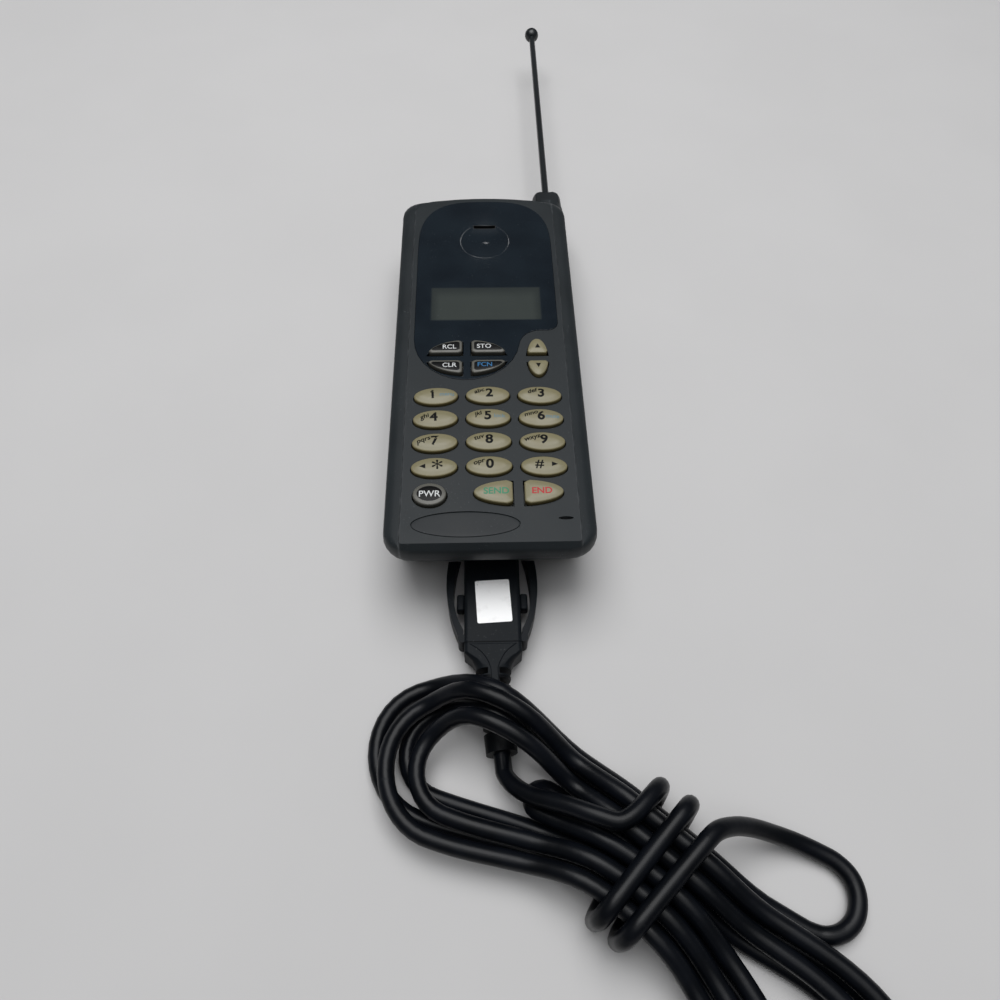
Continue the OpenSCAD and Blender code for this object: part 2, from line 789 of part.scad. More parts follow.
// Socket in the chin with its contact tongue
module accessory_socket() {
    color(black)
        translate([plug_x, chin_y, plug_z]) {
            difference() {
                translate([-socket_w / 2 + seat, 0.2, -socket_h / 2 + seat])
                    cube([socket_w - 2 * seat, socket_l - 0.2, socket_h - 2 * seat]);
                translate([-nose_w / 2 - slide, -1, -nose_h / 2 - slide])
                    cube([nose_w + 2 * slide, nose_l + 1.6, nose_h + 2 * slide]);
            }
            translate([-nose_w / 2 + 1.4, 1, -tongue_h / 2])
                cube([nose_w - 2.8, socket_l - 1.5, tongue_h]);
        }
}
module socket_contacts() {
    pitch = (nose_w - 4) / 7;
    color(brass)
        for (i = [0:7])
            translate([plug_x + (i - 3.5) * pitch - 0.3, chin_y + 1.4, plug_z + tongue_h / 2])
                cube([0.6, nose_l - 1.4, 0.15]);
}
module battery_contacts() {
    color(brass)
        for (x = contact_xs)
            rod_y(x, contact_z, pack_foot - contact_l, pack_foot - seat, contact_d);
}
module housing_screws() {
    color(steel)
        for (s = screws)
            translate([s[0], s[1], 0]) {
                translate([0, 0, screw_seat])
                    cylinder(d = screw_d, h = screw_top - screw_seat);
                translate([0, 0, screw_seat - 1.2])
                    cylinder(d = screw_head_d, h = 1.2);
            }
}

// Antenna
module antenna_tube() {
    color(brass)
        difference() {
            rod_y(ant_x, ant_z, tube_foot, boss_foot, tube_d);
            rod_y(ant_x, ant_z, tube_foot - 1, boss_foot + 1, whip_bore);
        }
}
module antenna_boot() {
    chamfer = 0.8;
    flat_z = 0.66 * boot_d / 2;
    color(black)
        translate([ant_x, boss_head, ant_z])
            difference() {
                rotate([-90, 0, 0])
                    rotate_extrude()
                        polygon([
                            [whip_bore / 2, 0], [boot_d / 2, 0], [boot_d / 2 - 0.3, boot_l - 2 * chamfer],
                            [boot_d / 2 - chamfer, boot_l], [whip_bore / 2, boot_l]
                        ]);
                translate([-boot_d, -1, flat_z])
                    cube([2 * boot_d, boot_l + 2, boot_d]);
            }
}
module antenna_whip() {
    color(black)
        rod_y(ant_x, ant_z, whip_foot, tip_y, whip_d);
}
module antenna_tip() {
    color(black)
        difference() {
            translate([ant_x, tip_y, ant_z])
                sphere(d = tip_d);
            rod_y(ant_x, ant_z, tip_y - tip_d, tip_y, whip_d);
        }
}

// Battery pack
function pack_plan(shrink) = body_plan(inset + shrink, pack_foot - foot_y + shrink, pack_head + shrink, 3);
pack_stack = [
    [pack_plan(3.2), 0],
    [pack_plan(1.6), 0.7],
    [pack_plan(0.5), 2.2],
    [pack_plan(0), 4.6],
    [pack_plan(0), skirt_z - slide]
];
module pack_neck(from, to) {
    translate([0, 0, from])
        linear_extrude(to - from)
            polygon(pack_plan(wall));
}
module battery_case() {
    color(shell_grey)
        difference() {
            union() {
                difference() {
                    union() {
                        loft(pack_stack);
                        pack_neck(skirt_z - slide, pack_t - lid_t);
                    }
                    translate([0, 0, pack_wall])
                        linear_extrude(pack_t)
                            polygon(pack_plan(pack_side));
                }
                translate([0, latch_y, (well_h + well_wall + pack_wall - seat) / 2])
                    cube([latch_w + 2 * slide + 2 * well_wall, latch_l + 2 * slide + 2 * well_wall,
                        well_h + well_wall - pack_wall + seat], center = true);
            }
            for (side = [-1, 1])
                translate([side * (half_w - wall), 0, rail_z + rail_h / 2])
                    cube([2 * rail_t + 2 * slide, body_l, rail_h + 2 * slide], center = true);
            translate([0, latch_y, 0])
                cube([latch_w + 2 * slide, latch_l + 2 * slide, 2 * well_h], center = true);
            for (x = contact_xs)
                rod_y(x, contact_z, pack_foot - 1, pack_foot + terminal_l, terminal_d + 2 * seat);
        }
}
module battery_terminals() {
    color(brass)
        for (x = contact_xs)
            rod_y(x, contact_z, pack_foot, pack_foot + terminal_l, terminal_d);
}
module battery_lid() {
    color(shell_grey)
        pack_neck(pack_t - lid_t, pack_t);
}
module battery_cells() {
    color([0.35, 0.55, 0.38])
        for (i = [0:cell_count - 1])
            translate([-cell_l / 2, cell_foot + (i + 0.5) * cell_pitch, pack_wall + seat + cell_d / 2])
                rotate([0, 90, 0])
                    cylinder(d = cell_d, h = cell_l);
}
module battery_latch() {
    color(black)
        translate([-latch_w / 2, latch_y - latch_l / 2, latch_lip])
            cube([latch_w, latch_l, well_h - latch_travel - latch_lip - slide]);
}

// Plug: parallel grip, taper, hollow nose, two sprung latch arms and a plain label
function slab(w, h, r) = concat(
    arc([w / 2 - r, h / 2 - r], r, 0, 90, 4), arc([r - w / 2, h / 2 - r], r, 90, 180, 4),
    arc([r - w / 2, r - h / 2], r, 180, 270, 4), arc([w / 2 - r, r - h / 2], r, 270, 360, 4));
plug_stack = [
    [slab(plug_w - 0.6, plug_h - 0.6, 1), 0],
    [slab(plug_w, plug_h, 1.2), 0.8],
    [slab(plug_w, plug_h, 1.2), plug_l + taper_l * 0.28],
    [slab(plug_w - 1.6, plug_h, 1.5), plug_l + taper_l * 0.36],
    [slab(plug_w - 4.2, plug_h, 2.2), plug_l + taper_l * 0.5],
    [slab(relief_d + 0.8, plug_h, 3), plug_l + taper_l * 0.67],
    [slab(relief_d + 0.2, relief_d, relief_d / 2 - 0.4), plug_l + taper_l]
];
module plug_frame() {
    translate([plug_x, plug_y, plug_z])
        rotate([90, 0, 0])
            children();
}
module plug_body() {
    color(black)
        difference() {
            plug_frame()
                loft(plug_stack);
            for (side = [-1, 1])
                translate([plug_x + side * pivot_at[0], pivot_at[1], plug_z - arm_h / 2 - slide])
                    cylinder(d = pivot_d + slide, h = arm_h + 2 * slide);
            for (side = [-1, 1])
                translate([plug_x + side * relief_d / 2, taper_tail + 0.75 * relief_slot, plug_z])
                    cube([relief_d - relief_spine, relief_slot, relief_d + 1], center = true);
        }
}
module plug_nose() {
    slot_h = tongue_h + 1;
    color(steel)
        translate([plug_x, plug_y, plug_z])
            difference() {
                translate([-nose_w / 2, 0, -nose_h / 2])
                    cube([nose_w, nose_l, nose_h]);
                translate([-nose_w / 2 + 1, 0.6, -slot_h / 2])
                    cube([nose_w - 2, nose_l, slot_h]);
            }
}
module plug_label() {
    color([0.85, 0.86, 0.86])
        translate(label_at)
            rotate([0, 0, label_turn])
                translate([-label_size[0] / 2, -label_size[1] / 2, 0])
                    cube(label_size);
}
// One latch arm: bowed out from its pivot and back in at a tip that leans with the chin
function bow(a, b, c, n) = [
    for (i = [0:n])
        let (t = i / n)
        a * (1 - t) * (1 - t) + 2 * b * t * (1 - t) + c * t * t
];
module plug_latch(side) {
    out = arms_w / 2;
    middle = (pivot_at[1] + arm_tip) / 2;
    side_x = plug_w / 2 + arm_off;
    outer = bow(pivot_at + [0.2, -pivot_d / 2], [out + 2.4, middle - 2], [out - 1.1, arm_tip], 14);
    inner = bow([out - 1.9 - arm_t, arm_tip], [out + 2.4 - arm_t * 1.05, middle - 2.9],
        [side_x, pivot_at[1] + 2.6], 14);
    color(black)
        translate([plug_x, 0, plug_z - arm_h / 2]) {
            difference() {
                linear_extrude(arm_h)
                    polygon([for (p = concat(outer, inner, [[side_x, pivot_at[1]]])) [p[0] * side, p[1]]]);
                translate([0, arm_tip, 0])
                    rotate([atan(tip_lean / arm_h), 0, 0])
                        translate([-arms_w, 0, -arm_h])
                            cube([2 * arms_w, arm_h, 4 * arm_h]);
            }
            translate([side * pivot_at[0], pivot_at[1], 0])
                cylinder(d = pivot_d, h = arm_h);
        }
}
module plug_latch_left() {
    plug_latch(-1);
}
module plug_latch_right() {
    plug_latch(1);
}
// Slotted down both sides so that it bends, and cut square where it meets the plug
module strain_relief() {
    slots = 4;
    pitch = (relief_l - 2 * relief_slot) / slots;
    color(black)
        difference() {
            translate([plug_x, taper_tail, plug_z])
                rotate([90, 0, relief_lean])
                    difference() {
                        translate([0, 0, -1])
                            cylinder(d1 = relief_d, d2 = relief_d - 0.8, h = relief_l + 1);
                        for (i = [0:slots - 1])
                            for (side = [-1, 1])
                                translate([side * relief_d / 2, 0, relief_slot + i * pitch])
                                    cube([relief_d - relief_spine, relief_d + 1, relief_slot], center = true);
                    }
            translate([plug_x - relief_d, taper_tail, 0])
                cube([2 * relief_d, 2 * relief_d, plug_z + relief_d]);
        }
}

// Hank: u runs along its waist to the right, v across it, and both bend with the waist
function blend01(x) = let (t = min(max(x, 0), 1)) (1 - cos(180 * t)) / 2;
function bell(x) = abs(x) < 1 ? pow(cos(90 * x), 2) : 0;
function waist_heading(u) = waist_turn - u / waist_bow * 180 / PI;
function waist_point(u, v, z) =
    let (h = waist_heading(u))
    [waist[0] + waist_bow * (sin(waist_turn) - sin(h)) - v * sin(h),
        waist[1] + waist_bow * (cos(h) - cos(waist_turn)) + v * cos(h), z];
// Each loop's reach, half width, sideways shift and how late it opens
function left_loop(k) =
    let (inner = k == 1 || k == 3 ? 1 : 0, upper = k > 2 ? 1 : 0)
    k == 2 ? [30, 3.3, -0.2, 1] : [72 - 8 * inner - 4.5 * upper, 17 - 6 * inner, 1 - 4 * upper, 1];
function right_loop(k) =
    let (inner = abs(2.5 - k) < 1 ? 1 : abs(2.5 - k) < 2 ? 0 : -1)
    [68 - 8 * inner, 15 - 6.5 * inner, 3, 2];
// Strand place across the waist: turns spiral in to the middle turn and out again
function turn_depth(t) = t < 2.5 ? t : 5 - t;
function strand_v(t) = strand * (2.5 - turn_depth(t));
function loop_quarter(q, loop, v0, side) =
    let (run = loop[0] - loop[1], bend = PI / 2 * loop[1], x = q * (run + bend),
        f = pow(blend01(x / run), loop[3]), a = 90 * (1 - (x - run) / bend))
    x < run ? [x, side * (v0 + (loop[1] - v0) * f) + loop[2] * f] :
        [run + loop[1] * cos(a), side * loop[1] * sin(a) + loop[2]];
function hank_point(t) =
    let (n = floor(t - 0.25 + 0.000001), p = t - 0.25 - n, left = p < 0.5, top = p < 0.25 || p >= 0.75,
        k = left ? n : n + 1, q = left ? (top ? p : 0.5 - p) * 4 : (top ? 1 - p : p - 0.5) * 4,
        v0 = strand_v(left ? (top ? k + 0.25 : k + 0.75) : (top ? k + 0.25 : k - 0.25)),
        w = loop_quarter(q, left ? left_loop(k) : right_loop(k), v0, top ? 1 : -1),
        u = left ? -w[0] : w[0], level = blend01((t - 2.42) / 0.16),
        rise = strand * bell(max(abs(u - 1) - waist_flat, 0) / waist_fall),
        flat = waist_point(u, w[1], cord_z + layer * level + rise),
        off = abs(flat[0] - relief_x) / hump_half,
        hump = hump_h * bell(off) + hump_spread * level * pow(sin(180 * min(off, 1)), 2))
    flat + [0, 0, left && top && k != 2 ? hump : 0];
function squared_ends(p) =
    let (n = len(p))
    concat([p[0] + cord_d * unit(p[0] - p[1])], p, [p[n - 1] + cord_d * unit(p[n - 1] - p[n - 2])]);
hank_steps = round((hank_to - hank_from) * loop_rings);
hank_path = squared_ends([
    for (i = [0:hank_steps])
        hank_point(hank_from + (hank_to - hank_from) * i / hank_steps)
]);

// Two wraps round the waist, hugging its corner strands
function wrap_ring(s) =
    let (top = wrap_half, bend = PI / 2 * strand, fall = layer, turn = 2 * (2 * top + 2 * bend + fall),
        a = s - turn * floor(s / turn), h = layer / 2 + strand,
        b = a - top, c = b - bend, d = c - fall, e = d - bend, f = e - 2 * top, g = f - bend, i = g - fall)
    b < 0 ? [a, h] :
    c < 0 ? [top + strand * sin(90 * b / bend), layer / 2 + strand * cos(90 * b / bend)] :
    d < 0 ? [top + strand, layer / 2 - c] :
    e < 0 ? [top + strand * cos(90 * d / bend), -layer / 2 - strand * sin(90 * d / bend)] :
    f < 0 ? [top - e, -h] :
    g < 0 ? [-top - strand * sin(90 * f / bend), -layer / 2 - strand * cos(90 * f / bend)] :
    i < 0 ? [-top - strand, -layer / 2 + g] :
    i < bend ? [-top - strand * cos(90 * i / bend), layer / 2 + strand * sin(90 * i / bend)] :
    [-top + i - bend, h];
wrap_round = 2 * (2 * wrap_half + PI * strand + layer);
function wrap_point(angle) =
    let (r = wrap_ring(wrap_round * angle / 360))
    waist_point(wrap_u + wrap_pitch * (angle - 90) / 360, r[0], wrap_z + r[1]);
wrap_steps = round((wrap_to - wrap_from) / 360 * wrap_rings);
wrap_path = squared_ends([
    for (i = [0:wrap_steps])
        wrap_point(wrap_from + (wrap_to - wrap_from) * i / wrap_steps)
]);

// Plain stretches between the strain relief, the wraps, the hank and the connector
stub = 0.6 * cord_d;
hank_start = hank_path[0];
hank_end = hank_path[len(hank_path) - 1];
wrap_start = wrap_path[0];
wrap_end = wrap_path[len(wrap_path) - 1];
hank_in = unit(hank_start - hank_path[1]);
hank_out = unit(hank_end - hank_path[len(hank_path) - 2]);
wrap_in = unit(wrap_start - wrap_path[1]);
wrap_out = unit(wrap_end - wrap_path[len(wrap_path) - 2]);
lead_path = route(concat([relief_end, relief_end + cord_d * relief_dir], lead_via,
    [wrap_start + stub * wrap_in, wrap_start]), 2);
side_path = route(concat([wrap_end, wrap_end + stub * wrap_out], side_via,
    [hank_start + stub * hank_in, hank_start]), 2);
tail_path = route(concat([hank_end, hank_end + stub * hank_out], tail_via, [jack_at]), 2);

module cord_lead() {
    color(black)
        tube(lead_path, cord_r, 8);
}
module cord_wraps() {
    color(black)
        tube(wrap_path, cord_r, loop_sides);
}
module cord_side_loop() {
    color(black)
        tube(side_path, cord_r, 8);
}
module cord_hank() {
    color(black)
        tube(hank_path, cord_r, loop_sides);
}
module cord_tail() {
    color(black)
        tube(tail_path, cord_r, 8);
}
module end_connector() {
    color(black)
        translate(jack_at)
            rotate([0, -90, 0])
                rotate_extrude()
                    polygon([
                        [0, 0], [cord_r + 0.8, 0], [jack_d / 2, jack_cone], [jack_d / 2, jack_l],
                        [barrel_d / 2, jack_l], [barrel_d / 2, jack_l + barrel_l],
                        [barrel_bore / 2, jack_l + barrel_l], [barrel_bore / 2, jack_l + 2], [0, jack_l + 2]
                    ]);
}

for (k = KEYS)
    phone_key(k);
front_housing();
rear_housing();
display_lens();
lcd_module();
lcd_backlight();
earpiece();
earpiece_gasket();
keypad_mat();
key_domes();
main_board();
rf_shields();
ringer();
microphone();
mic_boot();
accessory_socket();
socket_contacts();
battery_contacts();
housing_screws();
antenna_tube();
antenna_boot();
antenna_whip();
antenna_tip();
battery_case();
battery_lid();
battery_cells();
battery_terminals();
battery_latch();
plug_body();
plug_nose();
plug_label();
plug_latch_left();
plug_latch_right();
strain_relief();
cord_lead();
cord_wraps();
cord_side_loop();
cord_hank();
cord_tail();
end_connector();
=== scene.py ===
"""Bar cell phone with a drawn-out whip antenna and a hanked power cord, dressed for the studio."""

import functools
import json
import logging
import math
from collections.abc import Callable, Sequence
from dataclasses import dataclass, field
from enum import Enum

import bmesh
import bpy
from mathutils import Matrix, Vector

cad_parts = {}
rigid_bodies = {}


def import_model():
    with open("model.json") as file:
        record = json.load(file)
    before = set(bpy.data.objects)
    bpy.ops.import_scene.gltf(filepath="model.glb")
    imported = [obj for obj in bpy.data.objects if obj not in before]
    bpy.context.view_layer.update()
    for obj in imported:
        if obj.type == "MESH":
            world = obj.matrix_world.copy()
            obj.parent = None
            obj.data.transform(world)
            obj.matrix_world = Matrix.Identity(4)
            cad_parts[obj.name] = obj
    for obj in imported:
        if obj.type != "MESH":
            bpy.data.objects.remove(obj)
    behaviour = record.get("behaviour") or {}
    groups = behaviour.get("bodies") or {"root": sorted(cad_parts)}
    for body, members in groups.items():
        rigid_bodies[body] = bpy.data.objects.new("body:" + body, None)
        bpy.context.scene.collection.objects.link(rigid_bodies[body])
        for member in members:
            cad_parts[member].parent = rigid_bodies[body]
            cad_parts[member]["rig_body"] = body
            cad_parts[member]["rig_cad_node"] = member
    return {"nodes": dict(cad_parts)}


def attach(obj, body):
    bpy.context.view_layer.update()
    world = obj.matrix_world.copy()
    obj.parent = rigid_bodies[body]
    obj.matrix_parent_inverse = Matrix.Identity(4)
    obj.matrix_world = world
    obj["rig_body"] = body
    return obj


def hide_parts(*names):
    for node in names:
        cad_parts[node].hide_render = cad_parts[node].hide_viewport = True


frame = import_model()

LOG = logging.getLogger("bar_phone")
MM = 0.001
SAME = 1e-3
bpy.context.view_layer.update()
Colour = tuple[float, float, float, float]
Pair = tuple[float, float]
Point = tuple[float, float, float]


def tint(code: str, level: float = 1.0) -> Colour:
    """Turn a display colour into the linear colour that a shader reads.

    Args:
        code: Six hex digits, red first.
        level: Share of its light that is kept.

    Returns:
        Linear red, green, blue and an opaque alpha.
    """
    shares = [int(code[i:i + 2], 16) / 255 for i in (0, 2, 4)]
    linear = [s / 12.92 if s <= 0.04045 else ((s + 0.055) / 1.055) ** 2.4 for s in shares]
    return (linear[0] * level, linear[1] * level, linear[2] * level, 1.0)


def mm(x: float, y: float, z: float) -> Vector:
    """A point given in millimetres."""
    return Vector((x, y, z)) * MM


def sin_deg(angle: float) -> float:
    """Sine of an angle in degrees."""
    return math.sin(math.radians(angle))


def cos_deg(angle: float) -> float:
    """Cosine of an angle in degrees."""
    return math.cos(math.radians(angle))


class Signal:
    """A node's output socket that reads like a number in shader maths."""

    def __init__(self, tree: "Tree", socket: bpy.types.NodeSocket) -> None:
        """Hold the socket and the tree that it belongs to."""
        self.tree = tree
        self.socket = socket

    def _math(self, operation: str, first: "Signal | float", second: "Signal | float") -> "Signal":
        """Add one Math node with two inputs."""
        return self.tree.node("ShaderNodeMath", {"operation": operation}, {0: first, 1: second})

    def __add__(self, other: "Signal | float") -> "Signal":
        """Sum of two signals."""
        return self._math("ADD", self, other)

    __radd__ = __add__

    def __sub__(self, other: "Signal | float") -> "Signal":
        """This signal less another."""
        return self._math("SUBTRACT", self, other)

    def __rsub__(self, other: float) -> "Signal":
        """A number less this signal."""
        return self._math("SUBTRACT", other, self)

    def __mul__(self, other: "Signal | float") -> "Signal":
        """Product of two signals."""
        return self._math("MULTIPLY", self, other)

    __rmul__ = __mul__

    def __abs__(self) -> "Signal":
        """Size of the signal without its sign."""
        return self._math("ABSOLUTE", self, 0.0)

    def ramp(self, low: float, high: float) -> "Signal":
        """Ease from 0 at one value to 1 at another.

        Args:
            low: Value that gives 0.
            high: Value that gives 1; it may be the smaller of the two.

        Returns:
            The eased signal.
        """
        return self.tree.node(
            "ShaderNodeMapRange", {"interpolation_type": "SMOOTHSTEP"},
            {"Value": self, "From Min": low, "From Max": high},
        )


class Tree:
    """A node tree that is put together one node at a time."""

    def __init__(self, tree: bpy.types.NodeTree) -> None:
        """Hold the tree."""
        self.tree = tree

    def node(
        self, kind: str, settings: dict[str, object], inputs: dict[int | str, object],
        output: int | str | None = 0,
    ) -> Signal | None:
        """Add one node.

        Args:
            kind: The node's type.
            settings: Attributes that are set before the sockets.
            inputs: Values or signals for its sockets.
            output: The output that is handed on, or None for a node that has none.

        Returns:
            The output as a signal.
        """
        made = self.tree.nodes.new(kind)
        for name, value in settings.items():
            setattr(made, name, value)
        for key, value in inputs.items():
            self.feed(made.inputs[key], value)
        return None if output is None else Signal(self, made.outputs[output])

    def feed(self, socket: bpy.types.NodeSocket, value: object) -> None:
        """Link a signal to a socket, or set the socket to a plain value."""
        if isinstance(value, Signal):
            self.tree.links.new(value.socket, socket)
        else:
            socket.default_value = value


class Bench(Tree):
    """The bench on which one material's nodes are put together."""

    def __init__(self, name: str) -> None:
        """Start a material with a bare skin shader.

        Args:
            name: Name of the material.
        """
        self.material = bpy.data.materials.new(name)
        self.material.use_nodes = True
        super().__init__(self.material.node_tree)
        self.tree.nodes.clear()
        shader = self.node("ShaderNodeBsdfPrincipled", {}, {})
        self.skin = shader.socket.node
        self.node("ShaderNodeOutputMaterial", {}, {"Surface": shader}, None)
        self.place = self.node("ShaderNodeTexCoord", {}, {}, "Object")

    def wear(self, **sockets: object) -> None:
        """Feed the skin's sockets, named with underscores for spaces."""
        for name, value in sockets.items():
            self.feed(self.skin.inputs[name.replace("_", " ")], value)

    def mix(self, first: object, second: object, share: object) -> Signal:
        """Mix two colours.

        Args:
            first: Colour where the share is 0.
            second: Colour where the share is 1.
            share: How much of the second shows.

        Returns:
            The mixed colour.
        """
        return self.node("ShaderNodeMix", {"data_type": "RGBA"}, {0: share, 6: first, 7: second}, 2)

    def noise(self, size: float, detail: float = 2.0, stretch: Point = (1.0, 1.0, 1.0)) -> Signal:
        """Cloudy noise on the piece.

        Args:
            size: Size of a cloud in millimetres.
            detail: Finer steps within it.
            stretch: How much the clouds are drawn out along each axis.

        Returns:
            A signal round 0.5.
        """
        shape = tuple(1 / s for s in stretch)
        placed = self.node("ShaderNodeMapping", {}, {"Vector": self.place, "Scale": shape})
        return self.node(
            "ShaderNodeTexNoise", {}, {"Vector": placed, "Scale": 1 / (size * MM), "Detail": detail},
        )

    def specks(self, fleck: Point, patch: Point) -> Signal:
        """Fine specks that gather in patches.

        Args:
            fleck: Size of a speck in millimetres, and the noise values between which it fades in.
            patch: The same for the patches.

        Returns:
            1 on a speck and 0 off it.
        """
        return self.noise(fleck[0], 1.0).ramp(*fleck[1:]) * self.noise(patch[0], 2.0).ramp(*patch[1:])

    def axis(self, index: int) -> Signal:
        """One coordinate of the place on the piece, in millimetres."""
        return self.node("ShaderNodeSeparateXYZ", {}, {0: self.place}, index) * (1 / MM)

    def bump(self, height: Signal, depth: float) -> None:
        """Raise the surface by a height signal.

        Args:
            height: Signal from 0 to 1.
            depth: Height of 1 in millimetres.
        """
        self.wear(Normal=self.node(
            "ShaderNodeBump", {}, {"Strength": 1.0, "Distance": depth * MM, "Height": height},
        ))


@dataclass(frozen=True)
class Moulded:
    """Moulded plastic or rubber: fine grain, uneven tone, dusty specks, rubbed edge bands and seams."""

    name: str
    colour: str
    dust: str = "8c8d8c"
    roughness: float = 0.5
    grain: float = 0.35
    depth: float = 0.012
    dusty: float = 0.16
    uneven: float = 0.3
    stretch: Point = (1.0, 1.0, 1.0)
    coat: float = 0.0
    coat_roughness: float = 0.25
    shine: float = 0.5
    edges: tuple[tuple[int, float, float], ...] = ()
    rub: float = 0.3
    rub_gloss: float = 0.12
    seams: tuple[float, ...] = ()
    seam: str = "050506"
    seam_fade: Pair = (0.16, 0.05)
    seam_depth: float = 6.0

    def dress(self, bench: Bench) -> None:
        """Put the finish together.

        Args:
            bench: Bench of the material.
        """
        dust = tint(self.dust)
        cloud = bench.noise(14.0, 3.0, self.stretch)
        colour = bench.mix(tint(self.colour, 1 - self.uneven), tint(self.colour), cloud.ramp(0.3, 0.62))
        specks = bench.specks((0.5, 0.66, 0.76), (9.0, 0.42, 0.68))
        colour = bench.mix(colour, dust, specks * self.dusty)
        rough = self.roughness + (cloud - 0.5) * 0.2
        for index, place, width in self.edges:
            band = (abs(abs(bench.axis(index)) - place)).ramp(width, 0.0)
            rubbed = band * bench.noise(3.0, 3.0).ramp(0.35, 0.7)
            colour = bench.mix(colour, dust, rubbed * self.rub)
            rough = rough - rubbed * self.rub_gloss
        height = bench.noise(self.grain, 2.0)
        for place in self.seams:
            cut = (abs(bench.axis(1) - place)).ramp(*self.seam_fade)
            colour = bench.mix(colour, tint(self.seam), cut)
            height = height - cut * self.seam_depth
        bench.wear(
            Base_Color=colour, Roughness=rough, Coat_Weight=self.coat, Coat_Roughness=self.coat_roughness,
            Specular_IOR_Level=self.shine,
        )
        bench.bump(height, self.depth)


@dataclass(frozen=True)
class PolishedLens:
    """Dark polished lens with the display behind its clear window and the earpiece's slot in its dish;
    painted shade darkens the display at its window's top and sides, and the slot is painted near-black as its
    shadow.
    """

    name: str = "polished_lens"
    colour: str = "182027"
    deep: str = "121920"
    panel: str = "3b403e"
    # The second display colour is the painted shade at the window's top and sides, and also the dark end of
    # the display's random tone.
    panel_shade_and_tone: str = "24292a"
    lint: str = "8b9196"
    # The gap colour is the painted shadow inside the earpiece slot.
    gap: str = "030405"
    window: tuple[float, float, float, float] = (0.0, 15.2, 17.25, 7.15)
    window_fade: Pair = (0.5, -0.4)
    shade: Pair = (3.0, 5.0)
    slot: Point = (52.4, 3.6, 0.55)
    slot_fade: Pair = (0.35, 0.1)
    roughness: float = 0.06
    slot_roughness: float = 0.8
    ior: float = 1.49
    shine: float = 0.4

    def dress(self, bench: Bench) -> None:
        """Put the finish together.

        Args:
            bench: Bench of the material.
        """
        x, y = bench.axis(0), bench.axis(1)
        mid_x, mid_y, half_x, half_y = self.window
        fade, (shade_x, shade_y) = self.window_fade, self.shade
        inside = (abs(x - mid_x) - half_x).ramp(*fade) * (abs(y - mid_y) - half_y).ramp(*fade)
        # Painted shade: the display darkens towards its window's top edge and its sides, as if shaded by the
        # lens's depth; the noise adds random tone.
        lit = (y - mid_y).ramp(half_y, half_y - shade_y) * (abs(x - mid_x)).ramp(half_x, half_x - shade_x)
        tone = lit * 0.55 + bench.noise(11.0, 2.0) * 0.3 + 0.25
        panel = bench.mix(tint(self.panel_shade_and_tone), tint(self.panel), tone)
        cloud = bench.noise(16.0, 3.0)
        dark = bench.mix(tint(self.deep), tint(self.colour), cloud.ramp(0.3, 0.65))
        lint = bench.specks((0.45, 0.7, 0.78), (7.0, 0.5, 0.7))
        colour = bench.mix(bench.mix(dark, panel, inside), tint(self.lint), lint * 0.25)
        # Painted shadow: the earpiece slot's region is painted near-black in the gap colour, as the shade
        # inside the hole.
        slot_y, slot_x, slot_h = self.slot
        fade = self.slot_fade
        slot = (abs(x) - slot_x).ramp(*fade) * (abs(y - slot_y) - slot_h).ramp(*fade)
        colour = bench.mix(colour, tint(self.gap), slot)
        smudge = bench.noise(8.0, 4.0, (1.0, 2.2, 1.0)).ramp(0.5, 0.8)
        scratch = bench.noise(0.5, 2.0, (14.0, 1.0, 1.0)).ramp(0.66, 0.74)
        rough = self.roughness + smudge * 0.03 + scratch * 0.02 + slot * self.slot_roughness
        bench.wear(Base_Color=colour, Roughness=rough, IOR=self.ior, Specular_IOR_Level=self.shine)
        bench.bump(bench.noise(22.0, 1.0), 0.05)


@dataclass(frozen=True)
class KeyPlastic:
    """Key moulding: lighter on its crown, with painted shade down its sides in a darker, yellower colour, and
    darker in mottled patches towards its base.
    """

    name: str
    crown: str
    side: str
    grime: str = "3c382c"
    roughness: float = 0.42
    crown_z: Pair = (30.55, 31.3)
    base_dark_z: Pair = (30.5, 29.8)

    def dress(self, bench: Bench) -> None:
        """Put the finish together.

        Args:
            bench: Bench of the material.
        """
        z = bench.axis(2)
        # Painted shade: below the crown the key turns to its darker, yellower side colour; the same colour
        # also mottles the crown at random.
        colour = bench.mix(tint(self.side), tint(self.crown), z.ramp(*self.crown_z))
        cloud = bench.noise(5.0, 3.0)
        colour = bench.mix(colour, tint(self.side), cloud.ramp(0.5, 0.8) * 0.35)
        # Darker in mottled patches towards the key's base, in the grime colour that also gives the flecks.
        base_dark = z.ramp(*self.base_dark_z) * (0.4 + bench.noise(1.6, 3.0) * 0.6)
        fleck = bench.noise(0.4, 1.0).ramp(0.72, 0.8) * 0.3
        for share in (base_dark, fleck):
            colour = bench.mix(colour, tint(self.grime), share)
        bench.wear(Base_Color=colour, Roughness=self.roughness + (cloud - 0.5) * 0.2)
        bench.bump(bench.noise(0.3, 2.0), 0.006)


@dataclass(frozen=True)
class Ink:
    """Printed ink, thinned in places by use."""

    name: str
    colour: str
    under: str
    worn: float = 0.35
    roughness: float = 0.5
    shine: float = 0.12

    def dress(self, bench: Bench) -> None:
        """Put the finish together.

        Args:
            bench: Bench of the material.
        """
        thin = bench.noise(0.8, 3.0).ramp(0.58, 0.82) * self.worn
        colour = bench.mix(tint(self.colour), tint(self.under), thin)
        bench.wear(Base_Color=colour, Roughness=self.roughness + thin * 0.2, Specular_IOR_Level=self.shine)


